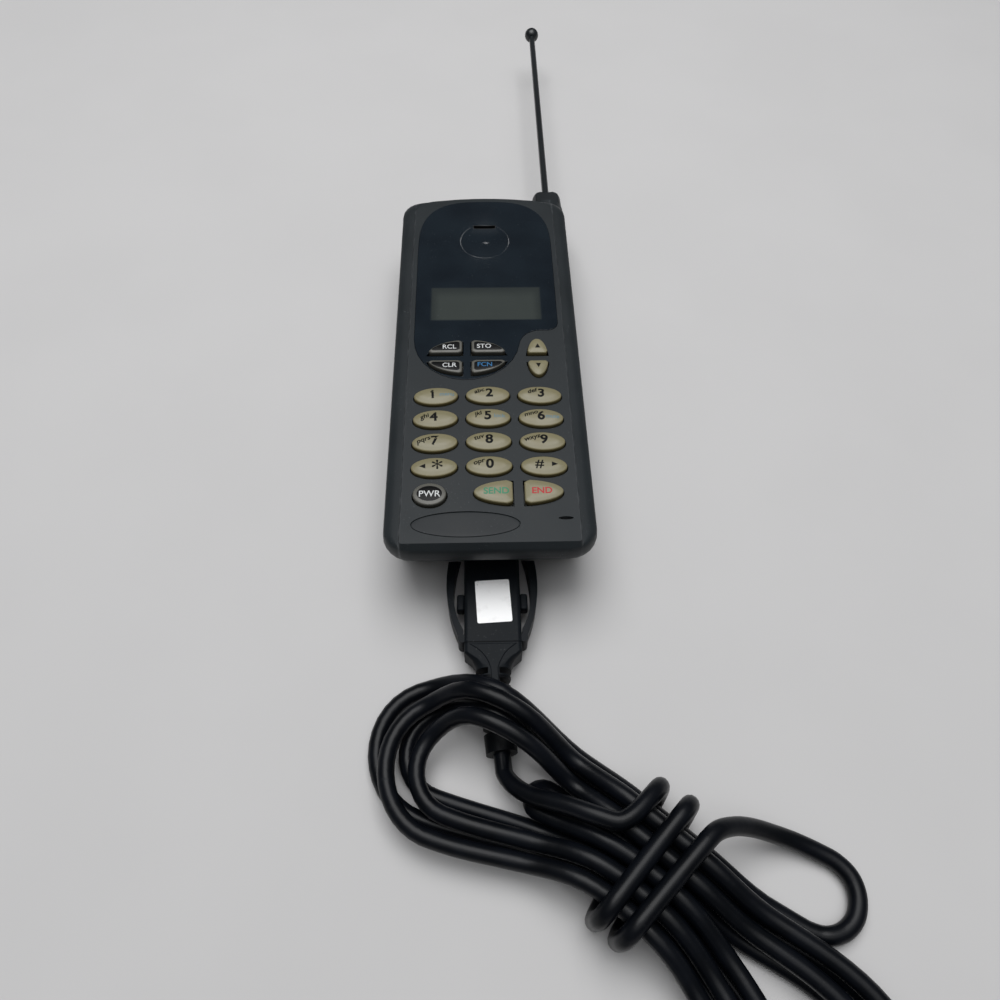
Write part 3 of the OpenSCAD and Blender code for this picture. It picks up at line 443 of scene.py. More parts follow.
@dataclass(frozen=True)
class Jacket:
    """Cord jacket: satin vinyl with faint scuffs, dust and a slow wave in its gloss."""

    name: str = "cord_jacket"
    colour: str = "0b0e14"
    deep: str = "06080c"
    dust: str = "34373c"
    roughness: float = 0.33
    shine: float = 0.19

    def dress(self, bench: Bench) -> None:
        """Put the finish together.

        Args:
            bench: Bench of the material.
        """
        cloud = bench.noise(9.0, 3.0)
        colour = bench.mix(tint(self.deep), tint(self.colour), cloud.ramp(0.3, 0.7))
        scuff = bench.noise(2.2, 4.0, (3.0, 1.0, 1.0)).ramp(0.66, 0.82)
        specks = bench.specks((0.5, 0.7, 0.8), (6.0, 0.45, 0.7))
        colour = bench.mix(colour, tint(self.dust), scuff * 0.15 + specks * 0.2)
        rough = self.roughness + scuff * 0.22 + (cloud - 0.5) * 0.16
        bench.wear(Base_Color=colour, Roughness=rough, Specular_IOR_Level=self.shine)
        bench.bump(bench.noise(1.4, 3.0), 0.03)


@dataclass(frozen=True)
class Film:
    """Bare silver-white label film, faintly creased, and greyer in patches along its upper edge."""

    name: str = "label_film"
    colour: str = "ffffff"
    deep: str = "f4f4f4"
    # The bare colour is the grey of the patches along the label's upper edge.
    bare: str = "7d807f"
    grey_edge_y: Pair = (-75.4, -73.6)

    def dress(self, bench: Bench) -> None:
        """Put the finish together.

        Args:
            bench: Bench of the material.
        """
        cloud = bench.noise(3.0, 3.0)
        colour = bench.mix(tint(self.deep), tint(self.colour), cloud.ramp(0.3, 0.5))
        # The label turns greyer in noisy patches over its upper 2 mm, towards the phone's end.
        rubbed = bench.noise(0.7, 3.0).ramp(0.62, 0.75) * bench.axis(1).ramp(*self.grey_edge_y)
        colour = bench.mix(colour, tint(self.bare), rubbed * 0.6)
        bench.wear(Base_Color=colour, Roughness=0.34 + cloud * 0.14)
        bench.bump(bench.noise(2.4, 2.0), 0.02)


@dataclass(frozen=True)
class Metal:
    """Drawn or plated metal with fine lines along one axis."""

    name: str
    colour: str
    lines: Point = (1.0, 12.0, 1.0)
    roughness: float = 0.3
    dull: float = 0.72

    def dress(self, bench: Bench) -> None:
        """Put the finish together.

        Args:
            bench: Bench of the material.
        """
        line = bench.noise(0.4, 2.0, self.lines)
        colour = bench.mix(tint(self.colour, self.dull), tint(self.colour), line.ramp(0.3, 0.6))
        bench.wear(Base_Color=colour, Metallic=1.0, Roughness=self.roughness + (line - 0.5) * 0.25)
        bench.bump(line, 0.004)


@dataclass(frozen=True)
class CircuitBoard:
    """Green board with copper lanes under its mask."""

    name: str = "circuit_board"
    colour: str = "1c5a3a"
    deep: str = "12402a"
    lane: str = "3f8a58"
    lanes: Point = (220.0, 0.35, 0.03)

    def dress(self, bench: Bench) -> None:
        """Put the finish together.

        Args:
            bench: Bench of the material.
        """
        scale, offset, width = self.lanes
        off, on = (0, 0, 0, 1), (1, 1, 1, 1)
        lane = bench.node(
            "ShaderNodeTexBrick", {"offset": offset},
            {"Vector": bench.place, "Scale": scale, "Mortar Size": width, "Color1": off, "Color2": off,
             "Mortar": on}, "Fac",
        )
        cloud = bench.noise(6.0, 2.0)
        green = bench.mix(tint(self.deep), tint(self.colour), cloud)
        colour = bench.mix(green, tint(self.lane), lane * 0.7)
        bench.wear(Base_Color=colour, Roughness=0.34 + cloud * 0.12)
        bench.bump(lane, 0.03)


@dataclass(frozen=True)
class TwoTone:
    """Two finishes that meet at a place along one axis, such as a moulding and its metal barrel."""

    name: str
    low: str
    high: str
    index: int
    place: float
    metal_low: float = 0.0
    fade: float = 0.05
    grime: str = "0a0a0b"

    def dress(self, bench: Bench) -> None:
        """Put the finish together.

        Args:
            bench: Bench of the material.
        """
        past = bench.axis(self.index).ramp(self.place - self.fade, self.place + self.fade)
        cloud = bench.noise(4.0, 3.0)
        colour = bench.mix(tint(self.low), tint(self.high), past)
        colour = bench.mix(colour, tint(self.grime), cloud.ramp(0.5, 0.85) * 0.3)
        bench.wear(
            Base_Color=colour, Metallic=(1.0 - past) * self.metal_low,
            Roughness=0.3 + past * 0.18 + (cloud - 0.5) * 0.15,
        )
        bench.bump(bench.noise(0.4, 2.0), 0.008)


@dataclass(frozen=True)
class Paper:
    """Pale floor with a barely uneven tone."""

    name: str = "pale_floor"
    colour: str = "c9c8c8"
    deep: str = "c7c6c6"
    roughness: float = 0.85
    shine: float = 0.2

    def dress(self, bench: Bench) -> None:
        """Put the finish together.

        Args:
            bench: Bench of the material.
        """
        cloud = bench.noise(60.0, 4.0)
        colour = bench.mix(tint(self.deep), tint(self.colour), cloud.ramp(0.3, 0.7))
        bench.wear(Base_Color=colour, Roughness=self.roughness, Specular_IOR_Level=self.shine)


Finish = Moulded | PolishedLens | KeyPlastic | Ink | Jacket | Film | Metal | CircuitBoard | TwoTone | Paper


@functools.cache
def material_of(finish: Finish) -> bpy.types.Material:
    """The material of a finish, made once.

    Args:
        finish: The finish.

    Returns:
        Its material.
    """
    bench = Bench(finish.name)
    finish.dress(bench)
    return bench.material


SHELL = Moulded(
    "shell_plastic", "212629", dust="6d7073", roughness=0.5, grain=0.32, depth=0.012, dusty=0.3,
    uneven=0.14, shine=0.26, edges=((0, 23.9, 0.5),),
)
PACK = Moulded("pack_plastic", "212528", dust="6a6d70", roughness=0.52, dusty=0.22, uneven=0.16, shine=0.3)
BADGE = Moulded(
    "badge_plastic", "202427", dust="666a6d", roughness=0.48, dusty=0.2, uneven=0.1, depth=0.006, shine=0.24,
)
LENS = PolishedLens()
# Each key finish's second colour is painted shade on the key's sides, with a yellower tone.
BEIGE = KeyPlastic("beige_key_plastic", "7e785d", "776c44")
GREY_RIM = KeyPlastic("grey_key_plastic", "575650", "4c4b45")
KEY_PRINT = Moulded(
    "black_key_print", "090a0b", roughness=0.36, grain=0.25, depth=0.006, dusty=0.15, shine=0.14,
)
RUBBER = Moulded("antenna_rubber_skin", "1d2124", roughness=0.46, grain=0.3, dusty=0.12, shine=0.25)
ROD = Moulded("antenna_rod_skin", "1b1f22", roughness=0.32, grain=0.5, depth=0.004, stretch=(1.0, 6.0, 1.0))
PLUG = Moulded(
    "plug_plastic", "13171b", roughness=0.46, grain=0.3, dusty=0.14, uneven=0.22, shine=0.09, seams=(-91.3,),
)
RELIEF = Moulded("relief_rubber", "0f1114", roughness=0.44, grain=0.4, dusty=0.12, shine=0.1)
JACKET = Jacket()
CONNECTOR = TwoTone("connector_finish", "c9c7c0", "15171a", 0, 5.0, 1.0)
FILM = Film()
STEEL = Metal("bright_steel", "b9bbbe")
GOLD = Metal("contact_plate", "c9a14e", roughness=0.24)
SHIELD = Metal("tinned_can", "b4b4ae", (8.0, 1.0, 1.0), 0.36)
CAN = Moulded("cell_wrap", "2f6b45", dust="93b59d", roughness=0.3, grain=1.2, depth=0.01)
GASKET = Moulded("gasket_foam", "1c1d1f", roughness=0.85, grain=0.5, depth=0.08)
MAT = Moulded("keypad_mat_rubber", "8a8d8b", dust="c0c2c0", roughness=0.7, grain=0.5)
BLACK = Moulded("black_nylon", "1a1b1d", roughness=0.5, grain=0.4)
GLASS = Moulded("display_glass", "4d554a", dust="7c8478", roughness=0.12, grain=3.0, depth=0.004, coat=0.6)
GUIDE = Moulded(
    "light_guide_acrylic", "b9c48e", dust="dfe6c0", roughness=0.25, grain=1.0, depth=0.01, coat=0.4,
)
BOARD = CircuitBoard()
FLOOR = Paper()


class Domain(Enum):
    """What a selection in edit mode is made of."""

    VERT = "VERT"
    EDGE = "EDGE"


@dataclass(frozen=True)
class Rounding:
    """Rounding of a copied piece: its width in millimetres, its steps and the angle past which it is made."""

    width: float
    segments: int = 2
    angle: float = 32.0


class Shop:
    """Hand tools: each method is a modelling step on the piece in hand."""

    @staticmethod
    def take(piece: bpy.types.Object | None = None) -> None:
        """Drop every selection, then take up one piece alone.

        Args:
            piece: The piece, or None to leave nothing in hand.
        """
        active = bpy.context.view_layer.objects.active
        if active is not None and active.mode != "OBJECT":
            bpy.ops.object.mode_set(mode="OBJECT")
        bpy.ops.object.select_all(action="DESELECT")
        if piece is not None:
            piece.select_set(True)
            bpy.context.view_layer.objects.active = piece

    @staticmethod
    def open(piece: bpy.types.Object) -> None:
        """Take a piece into edit mode with all of it selected."""
        Shop.take(piece)
        bpy.ops.object.mode_set(mode="EDIT")
        bpy.ops.mesh.select_mode(type="VERT")
        bpy.ops.mesh.select_all(action="SELECT")

    @staticmethod
    def close() -> None:
        """Merge doubles, point all faces outwards and leave edit mode."""
        bpy.ops.mesh.select_all(action="SELECT")
        bpy.ops.mesh.remove_doubles(threshold=1e-7)
        bpy.ops.mesh.normals_make_consistent(inside=False)
        bpy.ops.object.mode_set(mode="OBJECT")

    @staticmethod
    def begin(name: str, size: Point = (1.0, 1.0, 1.0)) -> bpy.types.Object:
        """Name the primitive that was just added, bring it to size and take it into edit mode.

        Args:
            name: Name of the new piece.
            size: Its scale along each axis.

        Returns:
            The piece.
        """
        piece = bpy.context.object
        piece.name = piece.data.name = name
        piece.scale = size
        bpy.ops.object.transform_apply(location=True, rotation=True, scale=True)
        Shop.open(piece)
        return piece

    @staticmethod
    def extrude(x: float, y: float, z: float) -> None:
        """Extrude the selection by a step in millimetres."""
        bpy.ops.mesh.extrude_region_move(TRANSFORM_OT_translate={"value": (x * MM, y * MM, z * MM)})

    @staticmethod
    def pick(piece: bpy.types.Object, domain: Domain, test: Callable[[Vector], bool]) -> None:
        """Select what passes a test on its middle in millimetres.

        Args:
            piece: The piece in edit mode.
            domain: Vertices or edges.
            test: Called with each middle.
        """
        bpy.ops.mesh.select_mode(type=domain.value)
        bpy.ops.mesh.select_all(action="DESELECT")
        shape = bmesh.from_edit_mesh(piece.data)
        shape.normal_update()
        if domain is Domain.EDGE:
            parts = [(e, (e.verts[0].co + e.verts[1].co) / 2) for e in shape.edges]
        else:
            parts = [(v, v.co) for v in shape.verts]
        for part, middle in parts:
            part.select_set(test(middle / MM))
        shape.select_flush_mode()
        bmesh.update_edit_mesh(piece.data)

    @staticmethod
    def change(piece: bpy.types.Object, kind: str, **settings: object) -> None:
        """Add a modifier to a piece and apply it.

        Args:
            piece: The piece.
            kind: The modifier's type.
            settings: Its settings.
        """
        Shop.take(piece)
        modifier = piece.modifiers.new(kind.title(), kind)
        for name, value in settings.items():
            setattr(modifier, name, value)
        bpy.ops.object.modifier_apply(modifier=modifier.name)

    @staticmethod
    def soften(piece: bpy.types.Object, angle: float = 38.0) -> None:
        """Shade a piece smooth except over its sharp edges, led by its large faces."""
        Shop.take(piece)
        bpy.ops.object.shade_smooth_by_angle(angle=math.radians(angle))
        Shop.change(piece, "WEIGHTED_NORMAL", keep_sharp=True, weight=60)

    @staticmethod
    def copy_node(node: str, name: str) -> bpy.types.Object:
        """Copy a CAD node as a new piece with its faces joined.

        Args:
            node: The node.
            name: Name of the new piece.

        Returns:
            The piece.
        """
        source = frame["nodes"][node]
        piece = source.copy()
        piece.data = source.data.copy()
        piece.name = piece.data.name = name
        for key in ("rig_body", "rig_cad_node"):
            if key in piece:
                del piece[key]
        piece.parent = None
        bpy.context.scene.collection.objects.link(piece)
        Shop.open(piece)
        bpy.ops.mesh.remove_doubles(threshold=2e-6)
        bpy.ops.mesh.customdata_custom_splitnormals_clear()
        bpy.ops.mesh.dissolve_limited(angle_limit=math.radians(0.6), use_dissolve_boundaries=False)
        bpy.ops.object.mode_set(mode="OBJECT")
        return piece

    @staticmethod
    def refine(
        node: str, name: str, rounding: Rounding, body: str, slot: str, finish: Finish,
    ) -> bpy.types.Object:
        """Copy a CAD node, round its edges and hand the copy over in its place.

        Args:
            node: The node.
            name: Name of the new piece.
            rounding: Rounding of its edges.
            body: The body that it moves with.
            slot: The record's material slot.
            finish: Its finish.

        Returns:
            The piece.
        """
        piece = Shop.copy_node(node, name)
        Shop.change(
            piece, "BEVEL", width=rounding.width * MM, segments=rounding.segments, limit_method="ANGLE",
            angle_limit=math.radians(rounding.angle), use_clamp_overlap=True, miter_outer="MITER_ARC",
        )
        Shop.soften(piece)
        return Shop.hand_over(piece, body, slot, finish, node)

    @staticmethod
    def turn(name: str, profile: Sequence[Pair], sides: int, bored: bool = False) -> bpy.types.Object:
        """Turn a piece along +Z, one step of its profile at a time.

        Args:
            name: Name of the piece.
            profile: Radius and height of each step, in millimetres.
            sides: Sides of the ring.
            bored: True where the profile comes back down its bore.

        Returns:
            The piece.
        """
        Shop.take()
        radius, height = profile[0]
        bpy.ops.mesh.primitive_circle_add(
            vertices=sides, radius=radius * MM, location=(0, 0, height * MM),
            fill_type="NOTHING" if bored else "NGON",
        )
        piece = Shop.begin(name)
        for next_radius, next_height in profile[1:]:
            Shop.extrude(0, 0, next_height - height)
            share = next_radius / radius
            bpy.ops.transform.resize(value=(share, share, 1), center_override=(0, 0, next_height * MM))
            radius, height = next_radius, next_height
        if bored:
            Shop.pick(piece, Domain.EDGE, lambda middle: abs(middle.z - profile[0][1]) < SAME)
            bpy.ops.mesh.bridge_edge_loops()
        Shop.close()
        return piece

    @staticmethod
    def crown(piece: bpy.types.Object, steps: Sequence[Pair]) -> None:
        """Raise the selected top face in steps that draw in evenly from its edge.

        Args:
            piece: The piece in edit mode, with its top face alone selected.
            steps: Distance in from the edge and height gained at each step, both counted from the first.
        """
        shape = bmesh.from_edit_mesh(piece.data)
        held = [v.co.copy() for v in shape.verts if v.select]
        low = Vector([min(c[i] for c in held) for i in range(3)])
        high = Vector([max(c[i] for c in held) for i in range(3)])
        middle, size = (low + high) / 2, (high - low) / MM
        done = (0.0, 0.0)
        for inward, rise in steps:
            Shop.extrude(0, 0, rise - done[1])
            share = [(size[i] - 2 * inward) / (size[i] - 2 * done[0]) for i in range(2)]
            bpy.ops.transform.resize(value=(*share, 1), center_override=middle)
            done = (inward, rise)

    @staticmethod
    def block(name: str, size: Point, at: Point, rounding: float, segments: int = 3) -> bpy.types.Object:
        """Cut a block at its size and place and round its edges.

        Args:
            name: Name of the piece.
            size: Its sizes in millimetres.
            at: Its middle in millimetres.
            rounding: Radius of its edges in millimetres.
            segments: Steps in the rounding.

        Returns:
            The piece.
        """
        Shop.take()
        bpy.ops.mesh.primitive_cube_add(size=MM, location=mm(*at))
        piece = Shop.begin(name, size)
        bpy.ops.mesh.bevel(offset=rounding * MM, segments=segments, affect="EDGES")
        Shop.close()
        return piece

    @staticmethod
    def set_in_place(piece: bpy.types.Object, place: Matrix) -> None:
        """Move a piece and keep its place in its mesh."""
        piece.matrix_world = place
        Shop.take(piece)
        bpy.ops.object.transform_apply(location=True, rotation=True, scale=True)

    @staticmethod
    def join(name: str, pieces: Sequence[bpy.types.Object]) -> bpy.types.Object:
        """Join several pieces into the first.

        Args:
            name: Name of the joined piece.
            pieces: The pieces.

        Returns:
            The joined piece.
        """
        Shop.take(pieces[0])
        for piece in pieces[1:]:
            piece.select_set(True)
        if len(pieces) > 1:
            bpy.ops.object.join()
        pieces[0].name = pieces[0].data.name = name
        return pieces[0]

    @staticmethod
    def hand_over(
        piece: bpy.types.Object, body: str, slot: str, finish: Finish, *nodes: str,
    ) -> bpy.types.Object:
        """Give a finished piece its finish, its body and the nodes that it stands for.

        Args:
            piece: The piece.
            body: The body that it moves with.
            slot: The record's material slot; not used.
            finish: Its finish.
            nodes: CAD nodes that it replaces.

        Returns:
            The piece.
        """
        if not piece.data.materials or piece.data.materials[0] is not material_of(finish):
            piece.data.materials.clear()
            piece.data.materials.append(material_of(finish))
        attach(piece, body)
        if nodes:
            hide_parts(*nodes)
        LOG.info("made %s on %s", piece.name, body)
        return piece


@dataclass
class Studio:
    """Camera, floor and soft light."""

    eye: Point = (-1.92, -175.35, 209.05)
    dip: float = 56.989
    yaw: float = 2.272
    roll: float = -1.077
    lens: float = 28.8
    sensor: float = 36.0
    clip: Pair = (0.01, 20.0)
    floor_size: float = 6.0
    floor_drop: float = 0.0001
    sky: float = 1.45
    walls: float = 0.1
    sky_rise: Pair = (0.7, 1.0)
    sky_colour: Colour = (0.97, 0.985, 1.0, 1.0)
    panel_power: float = 5.6
    panel_size: float = 0.7
    panel_at: Point = (-40.0, 170.0, 900.0)
    lamp_power: float = 0.009
    lamp_size: float = 0.022
    lamp_at: Point = (5.0, 976.0, 787.0)

    def set_camera(self) -> None:
        """Stand the camera where the photograph was taken from."""
        level = cos_deg(self.dip)
        forward = Vector((sin_deg(self.yaw) * level, cos_deg(self.yaw) * level, -sin_deg(self.dip)))
        right = Vector((cos_deg(self.yaw), -sin_deg(self.yaw), 0.0))
        down = forward.cross(right)
        across = right * cos_deg(self.roll) + down * sin_deg(self.roll)
        drop = down * cos_deg(self.roll) - right * sin_deg(self.roll)
        data = bpy.data.cameras.new("camera")
        data.sensor_width = self.sensor
        data.lens = self.lens
        data.clip_start, data.clip_end = self.clip
        camera = bpy.data.objects.new("camera", data)
        columns = (across, -drop, -forward, mm(*self.eye))
        camera.matrix_world = Matrix([[c[i] for c in columns] for i in range(3)] + [[0, 0, 0, 1]])
        bpy.context.scene.collection.objects.link(camera)
        bpy.context.scene.camera = camera
        LOG.info("camera set")

    def lay_floor(self) -> None:
        """Lay the pale floor under everything."""
        Shop.take()
        bpy.ops.mesh.primitive_plane_add(size=self.floor_size, location=(0, 0, -self.floor_drop))
        floor = bpy.context.object
        floor.name = "floor"
        bpy.ops.object.transform_apply(location=True, rotation=True, scale=True)
        floor.data.materials.append(material_of(FLOOR))
        LOG.info("floor laid")

    def hang_light(self, name: str, size: float, power: float, at: Point) -> None:
        """Hang one square lamp that faces the phone.

        Args:
            name: Name of the lamp.
            size: Its side in metres.
            power: Its power in watts.
            at: Its place in millimetres.
        """
        data = bpy.data.lights.new(name, "AREA")
        data.size = size
        data.energy = power
        lamp = bpy.data.objects.new(name, data)
        lamp.location = mm(*at)
        lamp.rotation_mode = "QUATERNION"
        lamp.rotation_quaternion = (-lamp.location).to_track_quat("-Z", "Y")
        bpy.context.scene.collection.objects.link(lamp)

    def light(self) -> None:
        """Set a sky that is bright overhead, the soft panel and a far ceiling lamp."""
        world = bpy.data.worlds.new("soft_room")
        world.use_nodes = True
        room = Tree(world.node_tree)
        toward = room.node("ShaderNodeTexCoord", {}, {}, "Generated")
        rise = room.node("ShaderNodeSeparateXYZ", {}, {0: toward}, "Z")
        low, high = self.sky_rise
        strength = room.node(
            "ShaderNodeMapRange", {"interpolation_type": "SMOOTHSTEP"},
            {"Value": rise, "From Min": low, "From Max": high, "To Min": self.walls, "To Max": self.sky},
        )
        sky = world.node_tree.nodes["Background"].inputs
        room.feed(sky["Color"], self.sky_colour)
        room.feed(sky["Strength"], strength)
        scene = bpy.context.scene
        scene.world = world
        scene.view_settings.view_transform = "Standard"
        self.hang_light("soft_panel", self.panel_size, self.panel_power, self.panel_at)
        self.hang_light("ceiling_lamp", self.lamp_size, self.lamp_power, self.lamp_at)
        LOG.info("light set")


@dataclass(frozen=True)
class Loop:
    """One loop of the hank: its reach, half width, shift across the waist and how late it opens."""

    reach: float
    half: float
    shift: float
    late: float


@dataclass
class PowerCord:
    """One cord, from the strain relief through wraps, side loop and hank to its connector.

    Lengths are in millimetres and angles in degrees. The hank has its first and last turn, the wraps
    their first and last angle, and each end of the hank its loops in the order in which they are wound.
    """

    thick: float = 4.4
    gap: float = 0.6
    exit: Point = (1.9908, -119.7262, 6.5)
    lean: float = 5.0
    lift: float = 0.2
    layer_gap: float = 0.3
    waist: Pair = (34.0, -146.0)
    waist_turn: float = -40.0
    waist_bow: float = 155.0
    waist_flat: float = 9.0
    waist_fall: float = 18.0
    relief_x: float = 1.3
    hump: float = 11.5
    hump_half: float = 20.0
    hump_spread: float = 1.9
    hank: Pair = (0.171, 4.83)
    hank_rings: int = 110
    climb: Pair = (2.42, 0.16)
    left_loops: tuple[Loop, ...] = (
        Loop(72.0, 17.0, 1.0, 1.0), Loop(64.0, 11.0, 1.0, 1.0), Loop(30.0, 3.3, -0.2, 1.0),
        Loop(59.5, 11.0, -3.0, 1.0), Loop(67.5, 17.0, -3.0, 1.0),
    )
    right_loops: tuple[Loop, ...] = (
        Loop(76.0, 21.5, 3.0, 2.0), Loop(68.0, 15.0, 3.0, 2.0), Loop(60.0, 8.5, 3.0, 2.0),
        Loop(60.0, 8.5, 3.0, 2.0), Loop(68.0, 15.0, 3.0, 2.0), Loop(76.0, 21.5, 3.0, 2.0),
    )
    core: int = 2
    turns: int = 5
    wraps: Pair = (40.0, 735.0)
    wrap_rings: int = 64
    wrap_u: float = -5.5
    wrap_pitch: float = 7.0
    wrap_reach: float = 2.25
    lead_via: tuple[Point, ...] = (
        (4.6, -127.8, 8.6), (8.4, -130.8, 11.0), (12.8, -132.6, 13.2), (17.0, -134.2, 15.2),
        (21.5, -136.2, 16.8), (26.2, -138.0, 17.6),
    )
    side_via: tuple[Point, ...] = (
        (50.4, -140.6, 16.6), (55.3, -139.2, 13.4), (60.6, -139.0, 9.8), (66.2, -139.8, 6.4),
        (71.8, -141.2, 4.0), (77.2, -143.4, 2.7), (81.3, -145.8, 2.4), (83.9, -149.2, 2.4),
        (84.4, -153.4, 2.4), (82.8, -157.6, 2.4), (79.4, -160.4, 2.4), (75.2, -161.2, 2.4),
    )
    tail_via: tuple[Point, ...] = (
        (47.4, -184.6, 5.4), (45.0, -189.4, 3.0), (40.0, -192.8, 2.8), (34.5, -193.6, 4.2),
        (31.0, -193.6, 4.7),
    )
    jack_at: Point = (27.0, -193.6, 4.7)
    stub: float = 0.6
    ease_reach: int = 14
    ease_rounds: int = 30

    def __post_init__(self) -> None:
        """Work out the strand steps from the cord's thickness."""
        self.strand = self.thick + self.gap
        self.layer = self.strand + self.layer_gap
        self.low = self.thick / 2 + self.lift
        self.wrap_half = self.wrap_reach * self.strand + self.layer_gap

    @staticmethod
    def ease(share: float) -> float:
        """Ease from 0 to 1."""
        return (1 - cos_deg(180 * min(max(share, 0.0), 1.0))) / 2

    @staticmethod
    def bell(share: float) -> float:
        """A bell that is 1 in its middle and 0 from 1 outwards."""
        return cos_deg(90 * share) ** 2 if abs(share) < 1 else 0.0

    def waist_point(self, u: float, v: float, z: float) -> Vector:
        """Place a point along and across the hank's bent waist.

        Args:
            u: Distance along the waist.
            v: Distance across it.
            z: Height.

        Returns:
            The point.
        """
        turn, bow = self.waist_turn, self.waist_bow
        heading = turn - math.degrees(u / bow)
        x = self.waist[0] + bow * (sin_deg(turn) - sin_deg(heading)) - v * sin_deg(heading)
        y = self.waist[1] + bow * (cos_deg(heading) - cos_deg(turn)) + v * cos_deg(heading)
        return Vector((x, y, z))

    def strand_v(self, t: float) -> float:
        """Place of a strand across the waist."""
        half = self.turns / 2
        return self.strand * (half - (t if t < half else self.turns - t))

    def loop_quarter(self, q: float, loop: Loop, v0: float, side: int) -> Pair:
        """Follow one quarter of a loop from the waist to its far end.

        Args:
            q: Share of the quarter.
            loop: The loop.
            v0: Strand's place at the waist.
            side: 1 for the upper run, -1 for the lower.

        Returns:
            Distances along and across the waist.
        """
        run, bend = loop.reach - loop.half, math.pi / 2 * loop.half
        x = q * (run + bend)
        if x < run:
            f = self.ease(x / run) ** loop.late
            return x, side * (v0 + (loop.half - v0) * f) + loop.shift * f
        angle = 90 * (1 - (x - run) / bend)
        return run + loop.half * cos_deg(angle), side * loop.half * sin_deg(angle) + loop.shift

    def hank_point(self, t: float) -> Vector:
        """A point of the hank.

        Args:
            t: Turns from the start of the winding.

        Returns:
            The point.
        """
        n = math.floor(t - 0.25 + 1e-6)
        p = t - 0.25 - n
        left, top = p < 0.5, p < 0.25 or p >= 0.75
        k = n if left else n + 1
        if left:
            q = (p if top else 0.5 - p) * 4
            v0 = self.strand_v(k + 0.25 if top else k + 0.75)
        else:
            q = (1 - p if top else p - 0.5) * 4
            v0 = self.strand_v(k + 0.25 if top else k - 0.25)
        loop = (self.left_loops if left else self.right_loops)[k]
        u, v = self.loop_quarter(q, loop, v0, 1 if top else -1)
        u = -u if left else u
        level = self.ease((t - self.climb[0]) / self.climb[1])
        rise = self.strand * self.bell(max(abs(u - 1) - self.waist_flat, 0) / self.waist_fall)
        flat = self.waist_point(u, v, self.low + self.layer * level + rise)
        off = abs(flat.x - self.relief_x) / self.hump_half
        if left and top and k != self.core:
            spread = self.hump_spread * level * sin_deg(180 * min(off, 1)) ** 2
            flat.z += self.hump * self.bell(off) + spread
        return flat

    def wrap_ring(self, s: float) -> Pair:
        """A point of one wrap's outline.

        Args:
            s: Distance round it.

        Returns:
            Distances across the waist and up from the wraps' middle.
        """
        top, turn, layer = self.wrap_half, self.strand, self.layer
        bend = math.pi / 2 * turn
        spans = (top, bend, layer, bend, 2 * top, bend, layer, bend, top)
        s %= sum(spans)
        index = 0
        while s > spans[index] and index < len(spans) - 1:
            s -= spans[index]
            index += 1
        a = 90 * s / bend
        high = layer / 2
        return (
            (s, high + turn),
            (top + turn * sin_deg(a), high + turn * cos_deg(a)),
            (top + turn, high - s),
            (top + turn * cos_deg(a), -high - turn * sin_deg(a)),
            (top - s, -high - turn),
            (-top - turn * sin_deg(a), -high - turn * cos_deg(a)),
            (-top - turn, -high + s),
            (-top - turn * cos_deg(a), high + turn * sin_deg(a)),
            (-top + s, high + turn),
        )[index]

    def wrap_point(self, angle: float) -> Vector:
        """A point of the wraps round the waist, by the angle wound so far."""
        length = 2 * (2 * self.wrap_half + math.pi * self.strand + self.layer)
        v, z = self.wrap_ring(length * angle / 360)
        middle = self.low + self.strand + self.layer / 2
        return self.waist_point(self.wrap_u + self.wrap_pitch * (angle - 90) / 360, v, middle + z)

    def squared(self, points: list[Vector]) -> list[Vector]:
        """Lengthen both ends of a winding straight on by one thickness."""
        first = points[0] + (points[0] - points[1]).normalized() * self.thick
        last = points[-1] + (points[-1] - points[-2]).normalized() * self.thick
        return [first, *points, last]

    @staticmethod
    def route(points: Sequence[Vector], steps: int = 8) -> list[Vector]:
        """Run a smooth line through given points, straight in its first and last step.

        Args:
            points: The points.
            steps: Points per stretch.

        Returns:
            The line.
        """
        line = [points[0]]
        for i in range(1, len(points) - 2):
            a, b, c, d = points[i - 1:i + 3]
            for j in range(steps):
                t = j / steps
                line.append(0.5 * (
                    2 * b + (c - a) * t + (2 * a - 5 * b + 4 * c - d) * t * t
                    + (3 * b - a - 3 * c + d) * t ** 3
                ))
        return [*line, points[-2], points[-1]]

    def line(self) -> list[Vector]:
        """The cord's whole centreline.

        Returns:
            Points in millimetres, from the strain relief to the connector.
        """
        def wind(point: Callable[[float], Vector], span: Pair, rings: float) -> list[Vector]:
            """Wind a strand over a span, with so many rings to each unit of it."""
            first, length = span[0], span[1] - span[0]
            steps = round(length * rings)
            return self.squared([point(first + length * i / steps) for i in range(steps + 1)])

        wraps = wind(self.wrap_point, self.wraps, self.wrap_rings / 360)
        hank = wind(self.hank_point, self.hank, self.hank_rings)
        stub = self.stub * self.thick
        out = Vector((sin_deg(self.lean), -cos_deg(self.lean), 0.0))
        start = Vector(self.exit)

        def past(end: Vector, inner: Vector) -> Vector:
            """A point a stub's length past the end of a winding."""
            return end + (end - inner).normalized() * stub

        lead = self.route([
            start, start + out * self.thick, *map(Vector, self.lead_via),
            past(wraps[0], wraps[1]), wraps[0],
        ])
        side = self.route([
            wraps[-1], past(wraps[-1], wraps[-2]), *map(Vector, self.side_via),
            past(hank[0], hank[1]), hank[0],
        ])
        tail = self.route([
            hank[-1], past(hank[-1], hank[-2]), *map(Vector, self.tail_via), Vector(self.jack_at),
        ])
        return self.eased(lead + wraps[1:] + side[1:] + hank[1:] + tail[1:], len(lead) - 2)

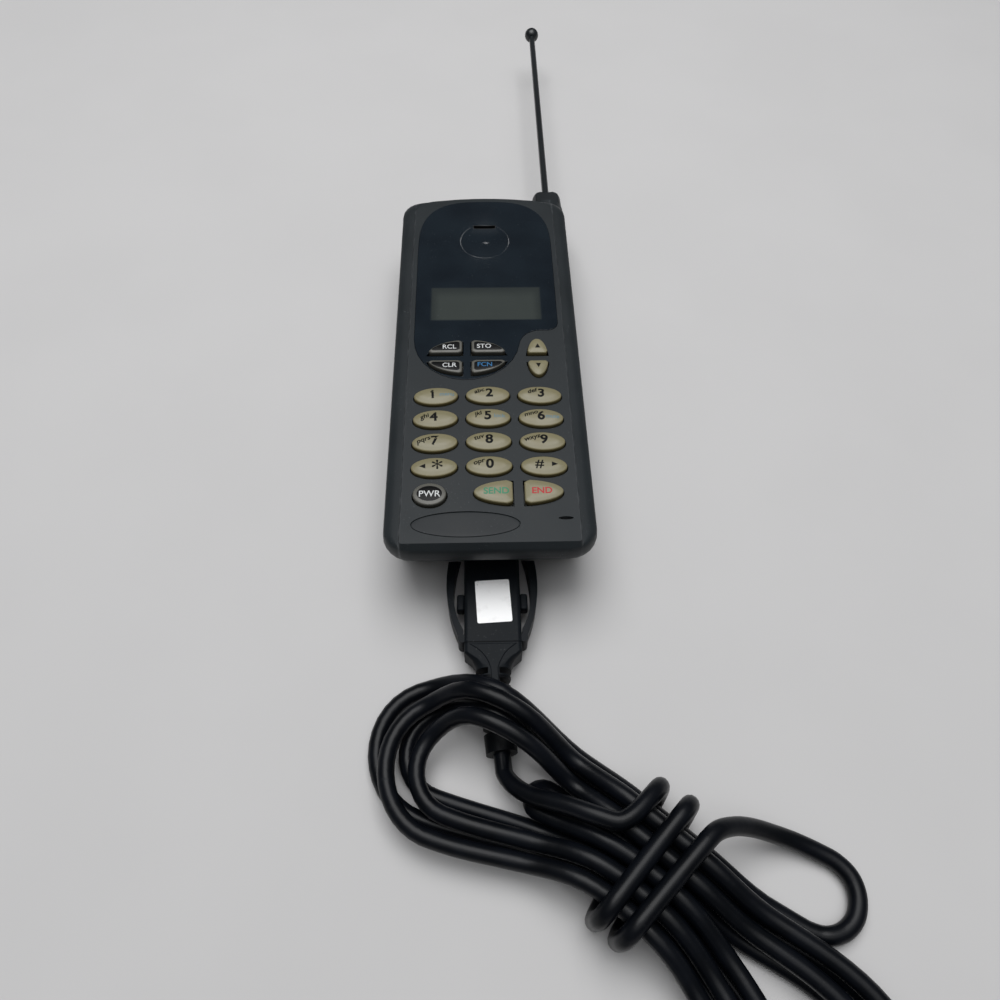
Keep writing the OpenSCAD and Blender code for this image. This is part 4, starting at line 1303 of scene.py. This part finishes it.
    def eased(self, line: list[Vector], middle: int) -> list[Vector]:
        """Ease the bend where the lead runs into the wraps, and keep the cord on the floor.

        Args:
            line: The whole centreline.
            middle: Index of the bend.

        Returns:
            The eased line.
        """
        low, high = middle - self.ease_reach, middle + self.ease_reach
        for _ in range(self.ease_rounds):
            line[low:high] = [
                line[i].lerp((line[i - 1] + line[i + 1]) / 2, self.bell((i - middle) / self.ease_reach) / 2)
                for i in range(low, high)
            ]
        return [Vector((p.x, p.y, max(p.z, self.thick / 2))) for p in line]

    def build(self) -> None:
        points = self.line()
        curve = bpy.data.curves.new("power_cord", "CURVE")
        curve.dimensions = "3D"
        spline = curve.splines.new("POLY")
        spline.points.add(len(points) - 1)
        for at, point in zip(spline.points, points):
            at.co = (*(point * MM), 1.0)
        spline.use_smooth = True
        curve.bevel_depth = self.thick / 2 * MM
        curve.bevel_resolution = 5
        curve.use_fill_caps = True
        cord = bpy.data.objects.new("power_cord", curve)
        bpy.context.scene.collection.objects.link(cord)
        Shop.hand_over(
            cord, "plug", "cord", JACKET,
            "cord_lead", "cord_wraps", "cord_side_loop", "cord_hank", "cord_tail",
        )
        connector = Shop.refine(
            "end_connector", "cord_connector", Rounding(0.3, 3), "plug", "black_plastic", CONNECTOR,
        )
        length = sum((b - a).length for a, b in zip(points, points[1:])) * MM
        LOG.info("cord is %.3f m long", length)


@dataclass
class Handset:
    """Front and rear shells, lens and badge plate, in millimetres."""

    face_z: float = 30.0
    badge_at: Pair = (-6.504, -66.5)
    badge_size: Pair = (29.0, 8.0)
    badge_gap: float = 0.22
    badge_sink: float = 0.4
    badge_rise: float = 0.3
    badge_crown: tuple[Pair, ...] = ((0.08, 0.06), (0.28, 0.09), (1.5, 0.1))

    def build(self) -> None:
        """Make the shells, the lens and the badge plate."""
        Shop.refine("front_housing", "front_shell", Rounding(0.3, 3), "phone", "shell", SHELL)
        Shop.refine("rear_housing", "rear_shell", Rounding(0.3), "phone", "shell", SHELL)
        Shop.refine("display_lens", "lens_cover", Rounding(0.12, angle=40.0), "phone", "lens", LENS)
        Shop.hand_over(self.badge(), "phone", "shell", BADGE)

    def badge(self) -> bpy.types.Object:
        """Make the bare oval plate that lies in the recess of the lower end.

        Returns:
            The plate.
        """
        Shop.take()
        bpy.ops.mesh.primitive_circle_add(
            vertices=96, radius=MM, fill_type="NGON",
            location=mm(*self.badge_at, self.face_z - self.badge_sink),
        )
        half_x, half_y = (size / 2 - self.badge_gap for size in self.badge_size)
        plate = Shop.begin("badge_plate", (half_x, half_y, 1.0))
        Shop.extrude(0, 0, self.badge_rise)
        Shop.crown(plate, self.badge_crown)
        Shop.close()
        Shop.soften(plate, 50.0)
        return plate


@dataclass(frozen=True)
class KeyForm:
    """A key's form: its size, crown, gaps to its neighbours, rounded corners and black-printed top.

    A crown has its reach in from the edge and its height. With a gap of 0 the ellipse isn't cut there.
    """

    size: Pair
    crown: Pair
    gap: Pair = (0.0, 0.0)
    rounding: float = 0.0
    printed: bool = False


class KeyShape(Enum):
    """Outline of a key, with its form in millimetres."""

    OVAL = KeyForm((12.65, 6.25), (2.7, 0.5))
    QUARTER = KeyForm((24.25, 13.45), (1.9, 0.16), (2.75, 2.95), 0.7, True)
    UPRIGHT = KeyForm((6.35, 14.65), (2.2, 0.3), (0.0, 3.05), 0.7)
    LEVEL = KeyForm((24.05, 7.75), (2.6, 0.35), (3.15, 0.0), 0.9)
    POWER = KeyForm((9.05, 7.05), (3.2, 0.35), printed=True)


class Arrow(Enum):
    """Printed arrowheads, by the turn that points them."""

    UP = 0.0
    LEFT = 90.0
    DOWN = 180.0
    RIGHT = -90.0


@dataclass(frozen=True)
class Mark:
    """One printed mark: its words or arrowhead, size, place on the key and turn."""

    words: str | Arrow
    size: float
    at: Pair
    turn: float = 0.0
    bold: float = 0.0
    slant: float = 0.0


@dataclass(frozen=True)
class Key:
    """One key: its name, outline, place, marks, ink, tilt, corner of its cluster and pale side note."""

    name: str
    shape: KeyShape
    at: Pair
    marks: tuple[Mark, ...]
    ink: Ink
    tilt: float = 0.0
    corner: tuple[int, int] = (1, 1)
    note: Mark | None = None


BLACK_INK = Ink("black_ink", "080808", "1e1c17")
WHITE_INK = Ink("white_ink", "cfd1d1", "8a8c8d")
BLUE_INK = Ink("blue_ink", "386e9c", "2f4a62")
GREEN_INK = Ink("green_ink", "45876a", "6f8a6c")
RED_INK = Ink("red_ink", "b23c3f", "96584e")
PALE_INK = Ink("pale_blue_ink", "647e88", "74786c")


@dataclass
class Keypad:
    """Domed keys with printed marks."""

    base_z: float = 29.2
    top_z: float = 31.6
    fillet: float = 0.45
    column: float = 15.05
    row: float = 8.4
    first_row: float = -48.4
    drop: float = 0.3
    tilt: float = 2.5
    quarter_at: Pair = (-6.048, -8.35)
    upright_at: Pair = (15.252, -8.6)
    level_at: Pair = (7.752, -57.1)
    power_at: Pair = (-16.104, -57.6)
    arrow: float = 0.9
    arrow_stretch: float = 1.25
    print_lift: float = 0.02
    print_above: float = 1.0
    print_share: float = 0.7
    rim: float = 0.995

    @staticmethod
    def digit(word: str, at: Pair, letters: str = "", letters_at: Pair = (0.0, 0.0)) -> tuple[Mark, ...]:
        """Marks of a digit key: its digit, and its letters on a rising line.

        Args:
            word: The digit.
            at: Its place on the key.
            letters: The letters, if it has any.
            letters_at: Their place on the key.

        Returns:
            The marks.
        """
        marks = (Mark(word, 4.3, at, bold=0.14),)
        return marks + (Mark(letters, 2.25, letters_at, 20.0, 0.055, 0.25),) if letters else marks

    def number_keys(self) -> list[Key]:
        """List the twelve oval keys, row by row.

        Returns:
            The keys with their marks.
        """
        faces = (
            ("1", self.digit("1", (-0.9, 0.2)) + (Mark("-", 2.7, (-1.32, 1.42), 38.0, 0.09),), "menu"),
            ("2", self.digit("2", (0.45, 0.2), "abc", (-2.6, 1.05)), ""),
            ("3", self.digit("3", (0.4, 0.2), "def", (-2.35, 0.95)), ""),
            ("4", self.digit("4", (-0.4, 0.2), "ghi", (-3.1, 0.55)), ""),
            ("5", self.digit("5", (-0.1, 0.2), "jkl", (-2.95, 1.0)), "lock"),
            ("6", self.digit("6", (0.0, 0.2), "mno", (-3.0, 1.1)), "mute"),
            ("7", self.digit("7", (0.0, 0.2), "pqrs", (-3.2, 0.7)), ""),
            ("8", self.digit("8", (0.15, 0.2), "tuv", (-2.85, 0.95)), ""),
            ("9", self.digit("9", (0.35, 0.2), "wxyz", (-3.05, 0.8)), ""),
            ("star", (
                Mark("*", 7.2, (0.9, -0.95), bold=0.05), Mark(Arrow.LEFT, self.arrow, (-2.9, 0.0)),
            ), ""),
            ("0", self.digit("0", (0.2, 0.15), "opr", (-2.9, 0.95)), ""),
            ("hash", (
                Mark("#", 3.9, (-1.3, 0.2), bold=0.07), Mark(Arrow.RIGHT, self.arrow, (2.6, 0.2)),
            ), ""),
        )
        made = []
        for i, (name, marks, word) in enumerate(faces):
            col, row = i % 3 - 1, i // 3
            at = (col * self.column, self.first_row + (3 - row) * self.row - abs(col) * self.drop)
            note = Mark(word, 1.9, (3.2, 0.05), bold=0.03) if word else None
            tilt = -col * self.tilt
            made.append(Key(f"key_{name}", KeyShape.OVAL, at, marks, BLACK_INK, tilt, note=note))
        return made

    def other_keys(self) -> list[Key]:
        """List the function, volume, call and power keys.

        Returns:
            The keys with their marks.
        """
        quarter, upright = (KeyShape.QUARTER, self.quarter_at), (KeyShape.UPRIGHT, self.upright_at)
        level, power = (KeyShape.LEVEL, self.level_at), (KeyShape.POWER, self.power_at)
        faces = (
            ("recall", quarter, (-1, 1), WHITE_INK, Mark("RCL", 2.35, (-5.3, 3.6), bold=0.02)),
            ("store", quarter, (1, 1), WHITE_INK, Mark("STO", 2.35, (5.2, 3.75), bold=0.02)),
            ("clear", quarter, (-1, -1), WHITE_INK, Mark("CLR", 2.35, (-5.2, -3.8), bold=0.02)),
            ("function", quarter, (1, -1), BLUE_INK, Mark("FCN", 2.35, (5.35, -3.65), bold=0.02)),
            ("volume_up", upright, (1, 1), BLACK_INK, Mark(Arrow.UP, self.arrow, (0.1, 3.75))),
            ("volume_down", upright, (1, -1), BLACK_INK, Mark(Arrow.DOWN, self.arrow, (0.0, -3.6))),
            ("send", level, (-1, 1), GREEN_INK, Mark("SEND", 2.8, (-6.0, -0.1), bold=0.06)),
            ("end", level, (1, 1), RED_INK, Mark("END", 2.75, (6.2, -0.2), bold=0.06)),
            ("power", power, (1, 1), WHITE_INK, Mark("PWR", 2.7, (0.0, -0.25), bold=0.02)),
        )
        return [
            Key(f"key_{name}", shape, at, (mark,), ink, corner=corner)
            for name, (shape, at), corner, ink, mark in faces
        ]

    def outline(self, key: Key) -> bpy.types.Object:
        """Cut a key's flat blank: an ellipse, halved or quartered, its cut corners rounded.

        Args:
            key: The key.

        Returns:
            The blank, flat at the key's base, in edit mode with all of it selected.
        """
        form = key.shape.value
        half_x, half_y = form.size[0] / 2, form.size[1] / 2
        Shop.take()
        bpy.ops.mesh.primitive_circle_add(
            vertices=96, radius=MM, fill_type="NGON", location=(0, 0, self.base_z * MM),
        )
        blank = Shop.begin(key.name + "_cap", (half_x, half_y, 1.0))
        cuts = [(i, key.corner[i] * gap / 2) for i, gap in enumerate(form.gap) if gap]
        if not cuts:
            return blank
        for index, place in cuts:
            normal = [0.0, 0.0, 0.0]
            normal[index] = key.corner[index]
            point = [0.0, 0.0, self.base_z * MM]
            point[index] = place * MM
            bpy.ops.mesh.select_all(action="SELECT")
            bpy.ops.mesh.bisect(plane_co=point, plane_no=normal, clear_inner=True, threshold=1e-7)

        def is_corner(at: Vector) -> bool:
            """True where two cuts meet or a cut meets the ellipse."""
            on = [abs(at[index] - place) < SAME for index, place in cuts]
            rim = (at.x / half_x) ** 2 + (at.y / half_y) ** 2 > self.rim
            return len(on) > 1 and all(on) or any(on) and rim

        shape = bmesh.from_edit_mesh(blank.data)
        corners = [v.co / MM for v in shape.verts if is_corner(v.co / MM)]
        for index, place in cuts:
            Shop.pick(blank, Domain.EDGE, lambda middle: abs(middle[index] - place) < SAME)
            bpy.ops.mesh.subdivide(number_cuts=16)
        Shop.pick(blank, Domain.VERT, lambda at: any((at - c).length < form.rounding for c in corners))
        bpy.ops.mesh.vertices_smooth(factor=0.5, repeat=12)
        bpy.ops.mesh.select_mode(type="FACE")
        bpy.ops.mesh.select_all(action="SELECT")
        return blank

    def cap(self, key: Key) -> bpy.types.Object:
        """Raise a key's blank into a domed cap at its place.

        Args:
            key: The key.

        Returns:
            The cap.
        """
        blank = self.outline(key)
        form, fillet = key.shape.value, self.fillet
        reach, crown = form.crown
        Shop.extrude(0, 0, self.top_z - crown - fillet - self.base_z)
        steps = [(fillet * (1 - cos_deg(a)), fillet * sin_deg(a)) for a in (22.5, 45.0, 67.5, 90.0)]
        steps += [
            (fillet + (reach - fillet) * share, fillet + crown * (1 - (1 - share) ** 2))
            for share in (0.25, 0.5, 0.75, 1.0)
        ]
        Shop.crown(blank, steps)
        Shop.close()
        blank.data.materials.append(material_of(GREY_RIM if form.printed else BEIGE))
        if form.printed:
            blank.data.materials.append(material_of(KEY_PRINT))
            edge = self.top_z - crown * self.print_share
            for face in blank.data.polygons:
                face.material_index = int(face.center.z / MM > edge)
        Shop.set_in_place(blank, self.place(key))
        Shop.soften(blank, 55.0)
        return blank

    @staticmethod
    def place(key: Key) -> Matrix:
        """Where a key stands."""
        return Matrix.Translation(mm(*key.at, 0.0)) @ Matrix.Rotation(math.radians(key.tilt), 4, "Z")

    def mark(self, mark: Mark, key: Key) -> bpy.types.Object:
        """Cut one printed mark as a flat mesh above its key.

        Args:
            mark: The mark.
            key: Its key.

        Returns:
            The mark.
        """
        Shop.take()
        turn = mark.turn
        if isinstance(mark.words, Arrow):
            bpy.ops.mesh.primitive_circle_add(vertices=3, radius=mark.size * MM, fill_type="NGON")
            turn = mark.words.value
        else:
            bpy.ops.object.text_add()
            text = bpy.context.object.data
            text.body = mark.words
            text.size = mark.size * MM
            text.fill_mode = "FRONT"
            text.bevel_depth = mark.bold * MM
            text.bevel_resolution = 0
            text.shear = mark.slant
            text.align_x, text.align_y = "CENTER", "CENTER"
            text.resolution_u = 6
            bpy.ops.object.convert(target="MESH")
        print_ = bpy.context.object
        spin = Matrix.Rotation(math.radians(turn), 4, "Z")
        if isinstance(mark.words, Arrow):
            spin = spin @ Matrix.Diagonal((1.0, self.arrow_stretch, 1.0, 1.0))
        above = Matrix.Translation(mm(*mark.at, self.top_z + self.print_above))
        Shop.set_in_place(print_, self.place(key) @ above @ spin)
        return print_

    def legend(
        self, name: str, marks: Sequence[Mark], key: Key, cap: bpy.types.Object,
    ) -> bpy.types.Object:
        """Print marks on a key's crown.

        Args:
            name: Name of the print.
            marks: The marks.
            key: The key.
            cap: Its cap.

        Returns:
            The printed marks.
        """
        legend = Shop.join(name, [self.mark(m, key) for m in marks])
        Shop.open(legend)
        bpy.ops.mesh.remove_doubles(threshold=1e-6)
        bpy.ops.mesh.quads_convert_to_tris()
        bpy.ops.mesh.subdivide(number_cuts=2)
        bpy.ops.object.mode_set(mode="OBJECT")
        Shop.change(
            legend, "SHRINKWRAP", target=cap, wrap_method="PROJECT", use_project_z=True,
            use_negative_direction=True, use_positive_direction=False, offset=self.print_lift * MM,
        )
        Shop.take(legend)
        bpy.ops.object.shade_smooth()
        return legend

    def build(self) -> None:
        """Make every key and print it."""
        for key in self.number_keys() + self.other_keys():
            cap = self.cap(key)
            printed = key.shape.value.printed
            body, slot = key.name + "_button", "black_key" if printed else "beige_key"
            Shop.hand_over(cap, body, slot, GREY_RIM if printed else BEIGE, key.name)
            Shop.hand_over(self.legend(key.name + "_print", key.marks, key, cap), body, slot, key.ink)
            if key.note is not None:
                Shop.hand_over(self.legend(key.name + "_note", [key.note], key, cap), body, slot, PALE_INK)


@dataclass
class Antenna:
    """Rubber boot, rod and ball of the whip antenna, along +Y, in millimetres.

    The boot has its foot, length and width, the rod its foot, top and thickness.
    """

    x: float = 23.3
    z: float = 19.3
    boot: Point = (74.0, 7.4, 11.0)
    boot_lip: tuple[Pair, ...] = ((0.2, 1.6), (0.35, 0.8), (0.62, 0.34), (1.0, 0.1), (1.5, 0.0))
    boot_flat: float = 3.6
    boot_edge: float = 0.4
    bore: float = 3.0
    bore_edge: float = 0.35
    rod: Point = (61.4, 199.4, 2.5)
    ball: float = 6.0

    def along(self, y: float) -> Matrix:
        """The place of a piece that was turned along +Z and stands along +Y."""
        return Matrix.Translation(mm(self.x, y, self.z)) @ Matrix.Rotation(math.radians(-90), 4, "X")

    def build(self) -> None:
        """Turn the boot, the rod and the ball."""
        Shop.hand_over(self.sleeve(), "phone", "antenna_rubber", RUBBER, "antenna_boot")
        low, high, thick = self.rod
        r, length = thick / 2, high - low
        steps = [(r - 0.25, 0.0), (r, 0.3), (r, 20.0), (r * 0.98, length / 2), (r * 0.96, length)]
        half = self.ball / 2
        angles = [-64 + 8 * i for i in range(18)] + [76, 82, 87]
        arc = [(half * cos_deg(a), half * sin_deg(a)) for a in angles]
        for name, profile, sides, foot, node in (
            ("whip_rod", steps, 32, low, "antenna_whip"),
            ("whip_ball", arc, 48, high, "antenna_tip"),
        ):
            piece = Shop.turn(name, profile, sides)
            Shop.set_in_place(piece, self.along(foot))
            Shop.soften(piece, 40.0)
            Shop.hand_over(piece, "antenna", "antenna_rod", ROD, node)

    def sleeve(self) -> bpy.types.Object:
        """Turn the boot and cut it flat on top.

        Returns:
            The boot.
        """
        foot, length, across = self.boot
        wide, inner = across / 2, self.bore / 2
        profile = [
            (wide, 0.0), (wide - 0.08, length * 0.3),
            *((wide - inward, length - down) for inward, down in self.boot_lip),
            (inner + self.bore_edge, length), (inner, length - self.bore_edge), (inner, 0.0),
        ]
        boot = Shop.turn("boot_sleeve", profile, 64, bored=True)
        Shop.set_in_place(boot, self.along(foot))
        flat = self.z + self.boot_flat
        Shop.open(boot)
        bpy.ops.mesh.bisect(plane_co=mm(0, 0, flat), plane_no=(0, 0, 1), clear_outer=True, use_fill=True)
        Shop.pick(boot, Domain.EDGE, lambda middle: middle.z > flat - SAME)
        bpy.ops.mesh.bevel(offset=self.boot_edge * MM, segments=3, affect="EDGES")
        Shop.close()
        Shop.soften(boot, 45.0)
        return boot


@dataclass
class Battery:
    """Slide-off pack with its lid and ridged latch, in millimetres."""

    latch_at: Point = (0.0, 60.0, 2.45)
    latch_size: Point = (15.0, 7.4, 4.1)
    ridges: int = 4
    ridge_inset: float = 3.0
    ridge_size: Pair = (0.7, 0.8)
    ridge_sink: float = 0.15

    def build(self) -> None:
        """Make the case, the lid and the latch."""
        Shop.refine("battery_case", "pack_case", Rounding(0.35), "battery", "shell", PACK)
        Shop.refine("battery_lid", "pack_lid", Rounding(0.2), "battery", "shell", PACK)
        x, y, z = self.latch_at
        wide, deep, tall = self.latch_size
        low, pitch = z - tall / 2 + self.ridge_sink, deep / (self.ridges + 1)
        button = Shop.block("latch_button", self.latch_size, self.latch_at, 0.5)
        size = (wide - self.ridge_inset, *self.ridge_size)
        bars = [
            Shop.block(f"ridge_{i}", size, (x, y - deep / 2 + (i + 1) * pitch, low), 0.2)
            for i in range(self.ridges)
        ]
        latch = Shop.join("latch_button", [button, *bars])
        Shop.soften(latch, 45.0)
        Shop.hand_over(latch, "latch", "black_plastic", BLACK, "battery_latch")


@dataclass
class Plug:
    """Accessory plug with its sprung arms, nubs, bare label and strain relief, in millimetres.

    Each row of the spine has its place along Y, its middle across and its half width.
    """

    x: float = 0.3
    z: float = 6.5
    nub_at: Pair = (8.7, -78.4)
    nub_size: Point = (2.2, 4.8, 3.4)
    grip_rounding: Rounding = Rounding(0.4, 3, 25.0)
    label_at: Point = (0.6, -79.51, 10.8)
    label_size: Pair = (9.45, 12.7)
    label_turn: float = 3.0
    label_corner: float = 0.5
    label_thick: float = 0.09
    label_edge: Pair = (0.05, 0.025)
    spine_z: Pair = (10.1, 11.05)
    spine_edge: float = 0.3
    spine_rows: tuple[Point, ...] = (
        (-104.6, 0.8, 1.0), (-98.8, 0.5, 1.05), (-97.4, 0.5, 1.45), (-96.0, 0.5, 2.1), (-94.6, 0.45, 3.0),
        (-93.4, 0.4, 4.2), (-92.4, 0.35, 5.6), (-91.75, 0.3, 6.6),
    )

    def build(self) -> None:
        """Make the plug's pieces."""
        Shop.refine("plug_body", "plug_grip", self.grip_rounding, "plug", "plug_rubber", PLUG)
        Shop.refine("plug_nose", "plug_sleeve", Rounding(0.25), "plug", "metal", STEEL)
        Shop.refine("strain_relief", "relief_sleeve", Rounding(0.28), "plug", "plug_rubber", RELIEF)
        for side, word in ((-1, "left"), (1, "right")):
            Shop.refine(
                f"plug_latch_{word}", f"{word}_spring_arm", self.grip_rounding,
                f"{word}_arm", "plug_rubber", PLUG,
            )
            nub_x = self.x + side * self.nub_at[0]
            nub = Shop.block(f"{word}_nub", self.nub_size, (nub_x, self.nub_at[1], self.z), 0.6)
            Shop.soften(nub, 45.0)
            Shop.hand_over(nub, "plug", "plug_rubber", PLUG)
        Shop.hand_over(self.spine(), "plug", "plug_rubber", PLUG)
        Shop.hand_over(self.label(), "plug", "label", FILM, "plug_label")

    def spine(self) -> bpy.types.Object:
        """Draw out the flat spine that narrows from the grip over the neck.

        Returns:
            The spine.
        """
        low, high = self.spine_z
        (first, middle, half), (second, _, _) = self.spine_rows[:2]
        Shop.take()
        bpy.ops.mesh.primitive_plane_add(size=MM, location=mm(middle, (first + second) / 2, low))
        spine = Shop.begin("neck_spine", (2 * half, second - first, 1.0))
        Shop.pick(spine, Domain.EDGE, lambda place: place.y > second - SAME)
        done, wide, across = second, half, middle
        for y, x, reach in self.spine_rows[1:]:
            if y > done:
                Shop.extrude(0, y - done, 0)
            bpy.ops.transform.translate(value=((x - across) * MM, 0, 0))
            bpy.ops.transform.resize(value=(reach / wide, 1, 1), center_override=mm(x, y, low))
            done, wide, across = y, reach, x
        bpy.ops.mesh.select_all(action="SELECT")
        Shop.extrude(0, 0, high - low)
        Shop.pick(spine, Domain.EDGE, lambda place: place.z > high - SAME)
        bpy.ops.mesh.bevel(offset=self.spine_edge * MM, segments=3, affect="EDGES")
        Shop.close()
        Shop.soften(spine, 40.0)
        return spine

    def label(self) -> bpy.types.Object:
        """Cut the bare label with rounded corners.

        Returns:
            The label.
        """
        Shop.take()
        bpy.ops.mesh.primitive_plane_add(size=MM)
        label = Shop.begin("bare_label", (*self.label_size, 1.0))
        bpy.ops.mesh.bevel(offset=self.label_corner * MM, segments=5, affect="VERTICES")
        bpy.ops.mesh.select_all(action="SELECT")
        Shop.extrude(0, 0, self.label_thick)
        Shop.crown(label, (self.label_edge,))
        Shop.close()
        turn = Matrix.Rotation(math.radians(self.label_turn), 4, "Z")
        Shop.set_in_place(label, Matrix.Translation(mm(*self.label_at)) @ turn)
        Shop.soften(label, 60.0)
        return label


@dataclass
class Innards:
    """Finishes of the pieces that stay inside."""

    finishes: dict[str, Finish] = field(default_factory=lambda: {
        "lcd_module": GLASS, "lcd_backlight": GUIDE, "earpiece": BLACK, "earpiece_gasket": GASKET,
        "keypad_mat": MAT, "key_domes": STEEL, "main_board": BOARD, "rf_shields": SHIELD, "ringer": BLACK,
        "microphone": STEEL, "mic_boot": GASKET, "accessory_socket": BLACK, "socket_contacts": GOLD,
        "battery_contacts": GOLD, "housing_screws": STEEL, "antenna_tube": GOLD, "battery_cells": CAN,
        "battery_terminals": GOLD,
    })

    def dress(self) -> None:
        """Give each inner piece its finish."""
        for name, finish in self.finishes.items():
            for held in frame["nodes"][name].material_slots:
                held.material = material_of(finish)
            LOG.info("dressed %s", name)


def main() -> None:
    """Build the scene in order: studio, cord, then the phone's sub-assemblies."""
    logging.basicConfig(level=logging.INFO, format="%(name)s: %(message)s")
    studio = Studio()
    studio.set_camera()
    PowerCord().build()
    Handset().build()
    Keypad().build()
    Antenna().build()
    Battery().build()
    Plug().build()
    Innards().dress()
    studio.lay_floor()
    studio.light()


if __name__ == "__main__":
    main()
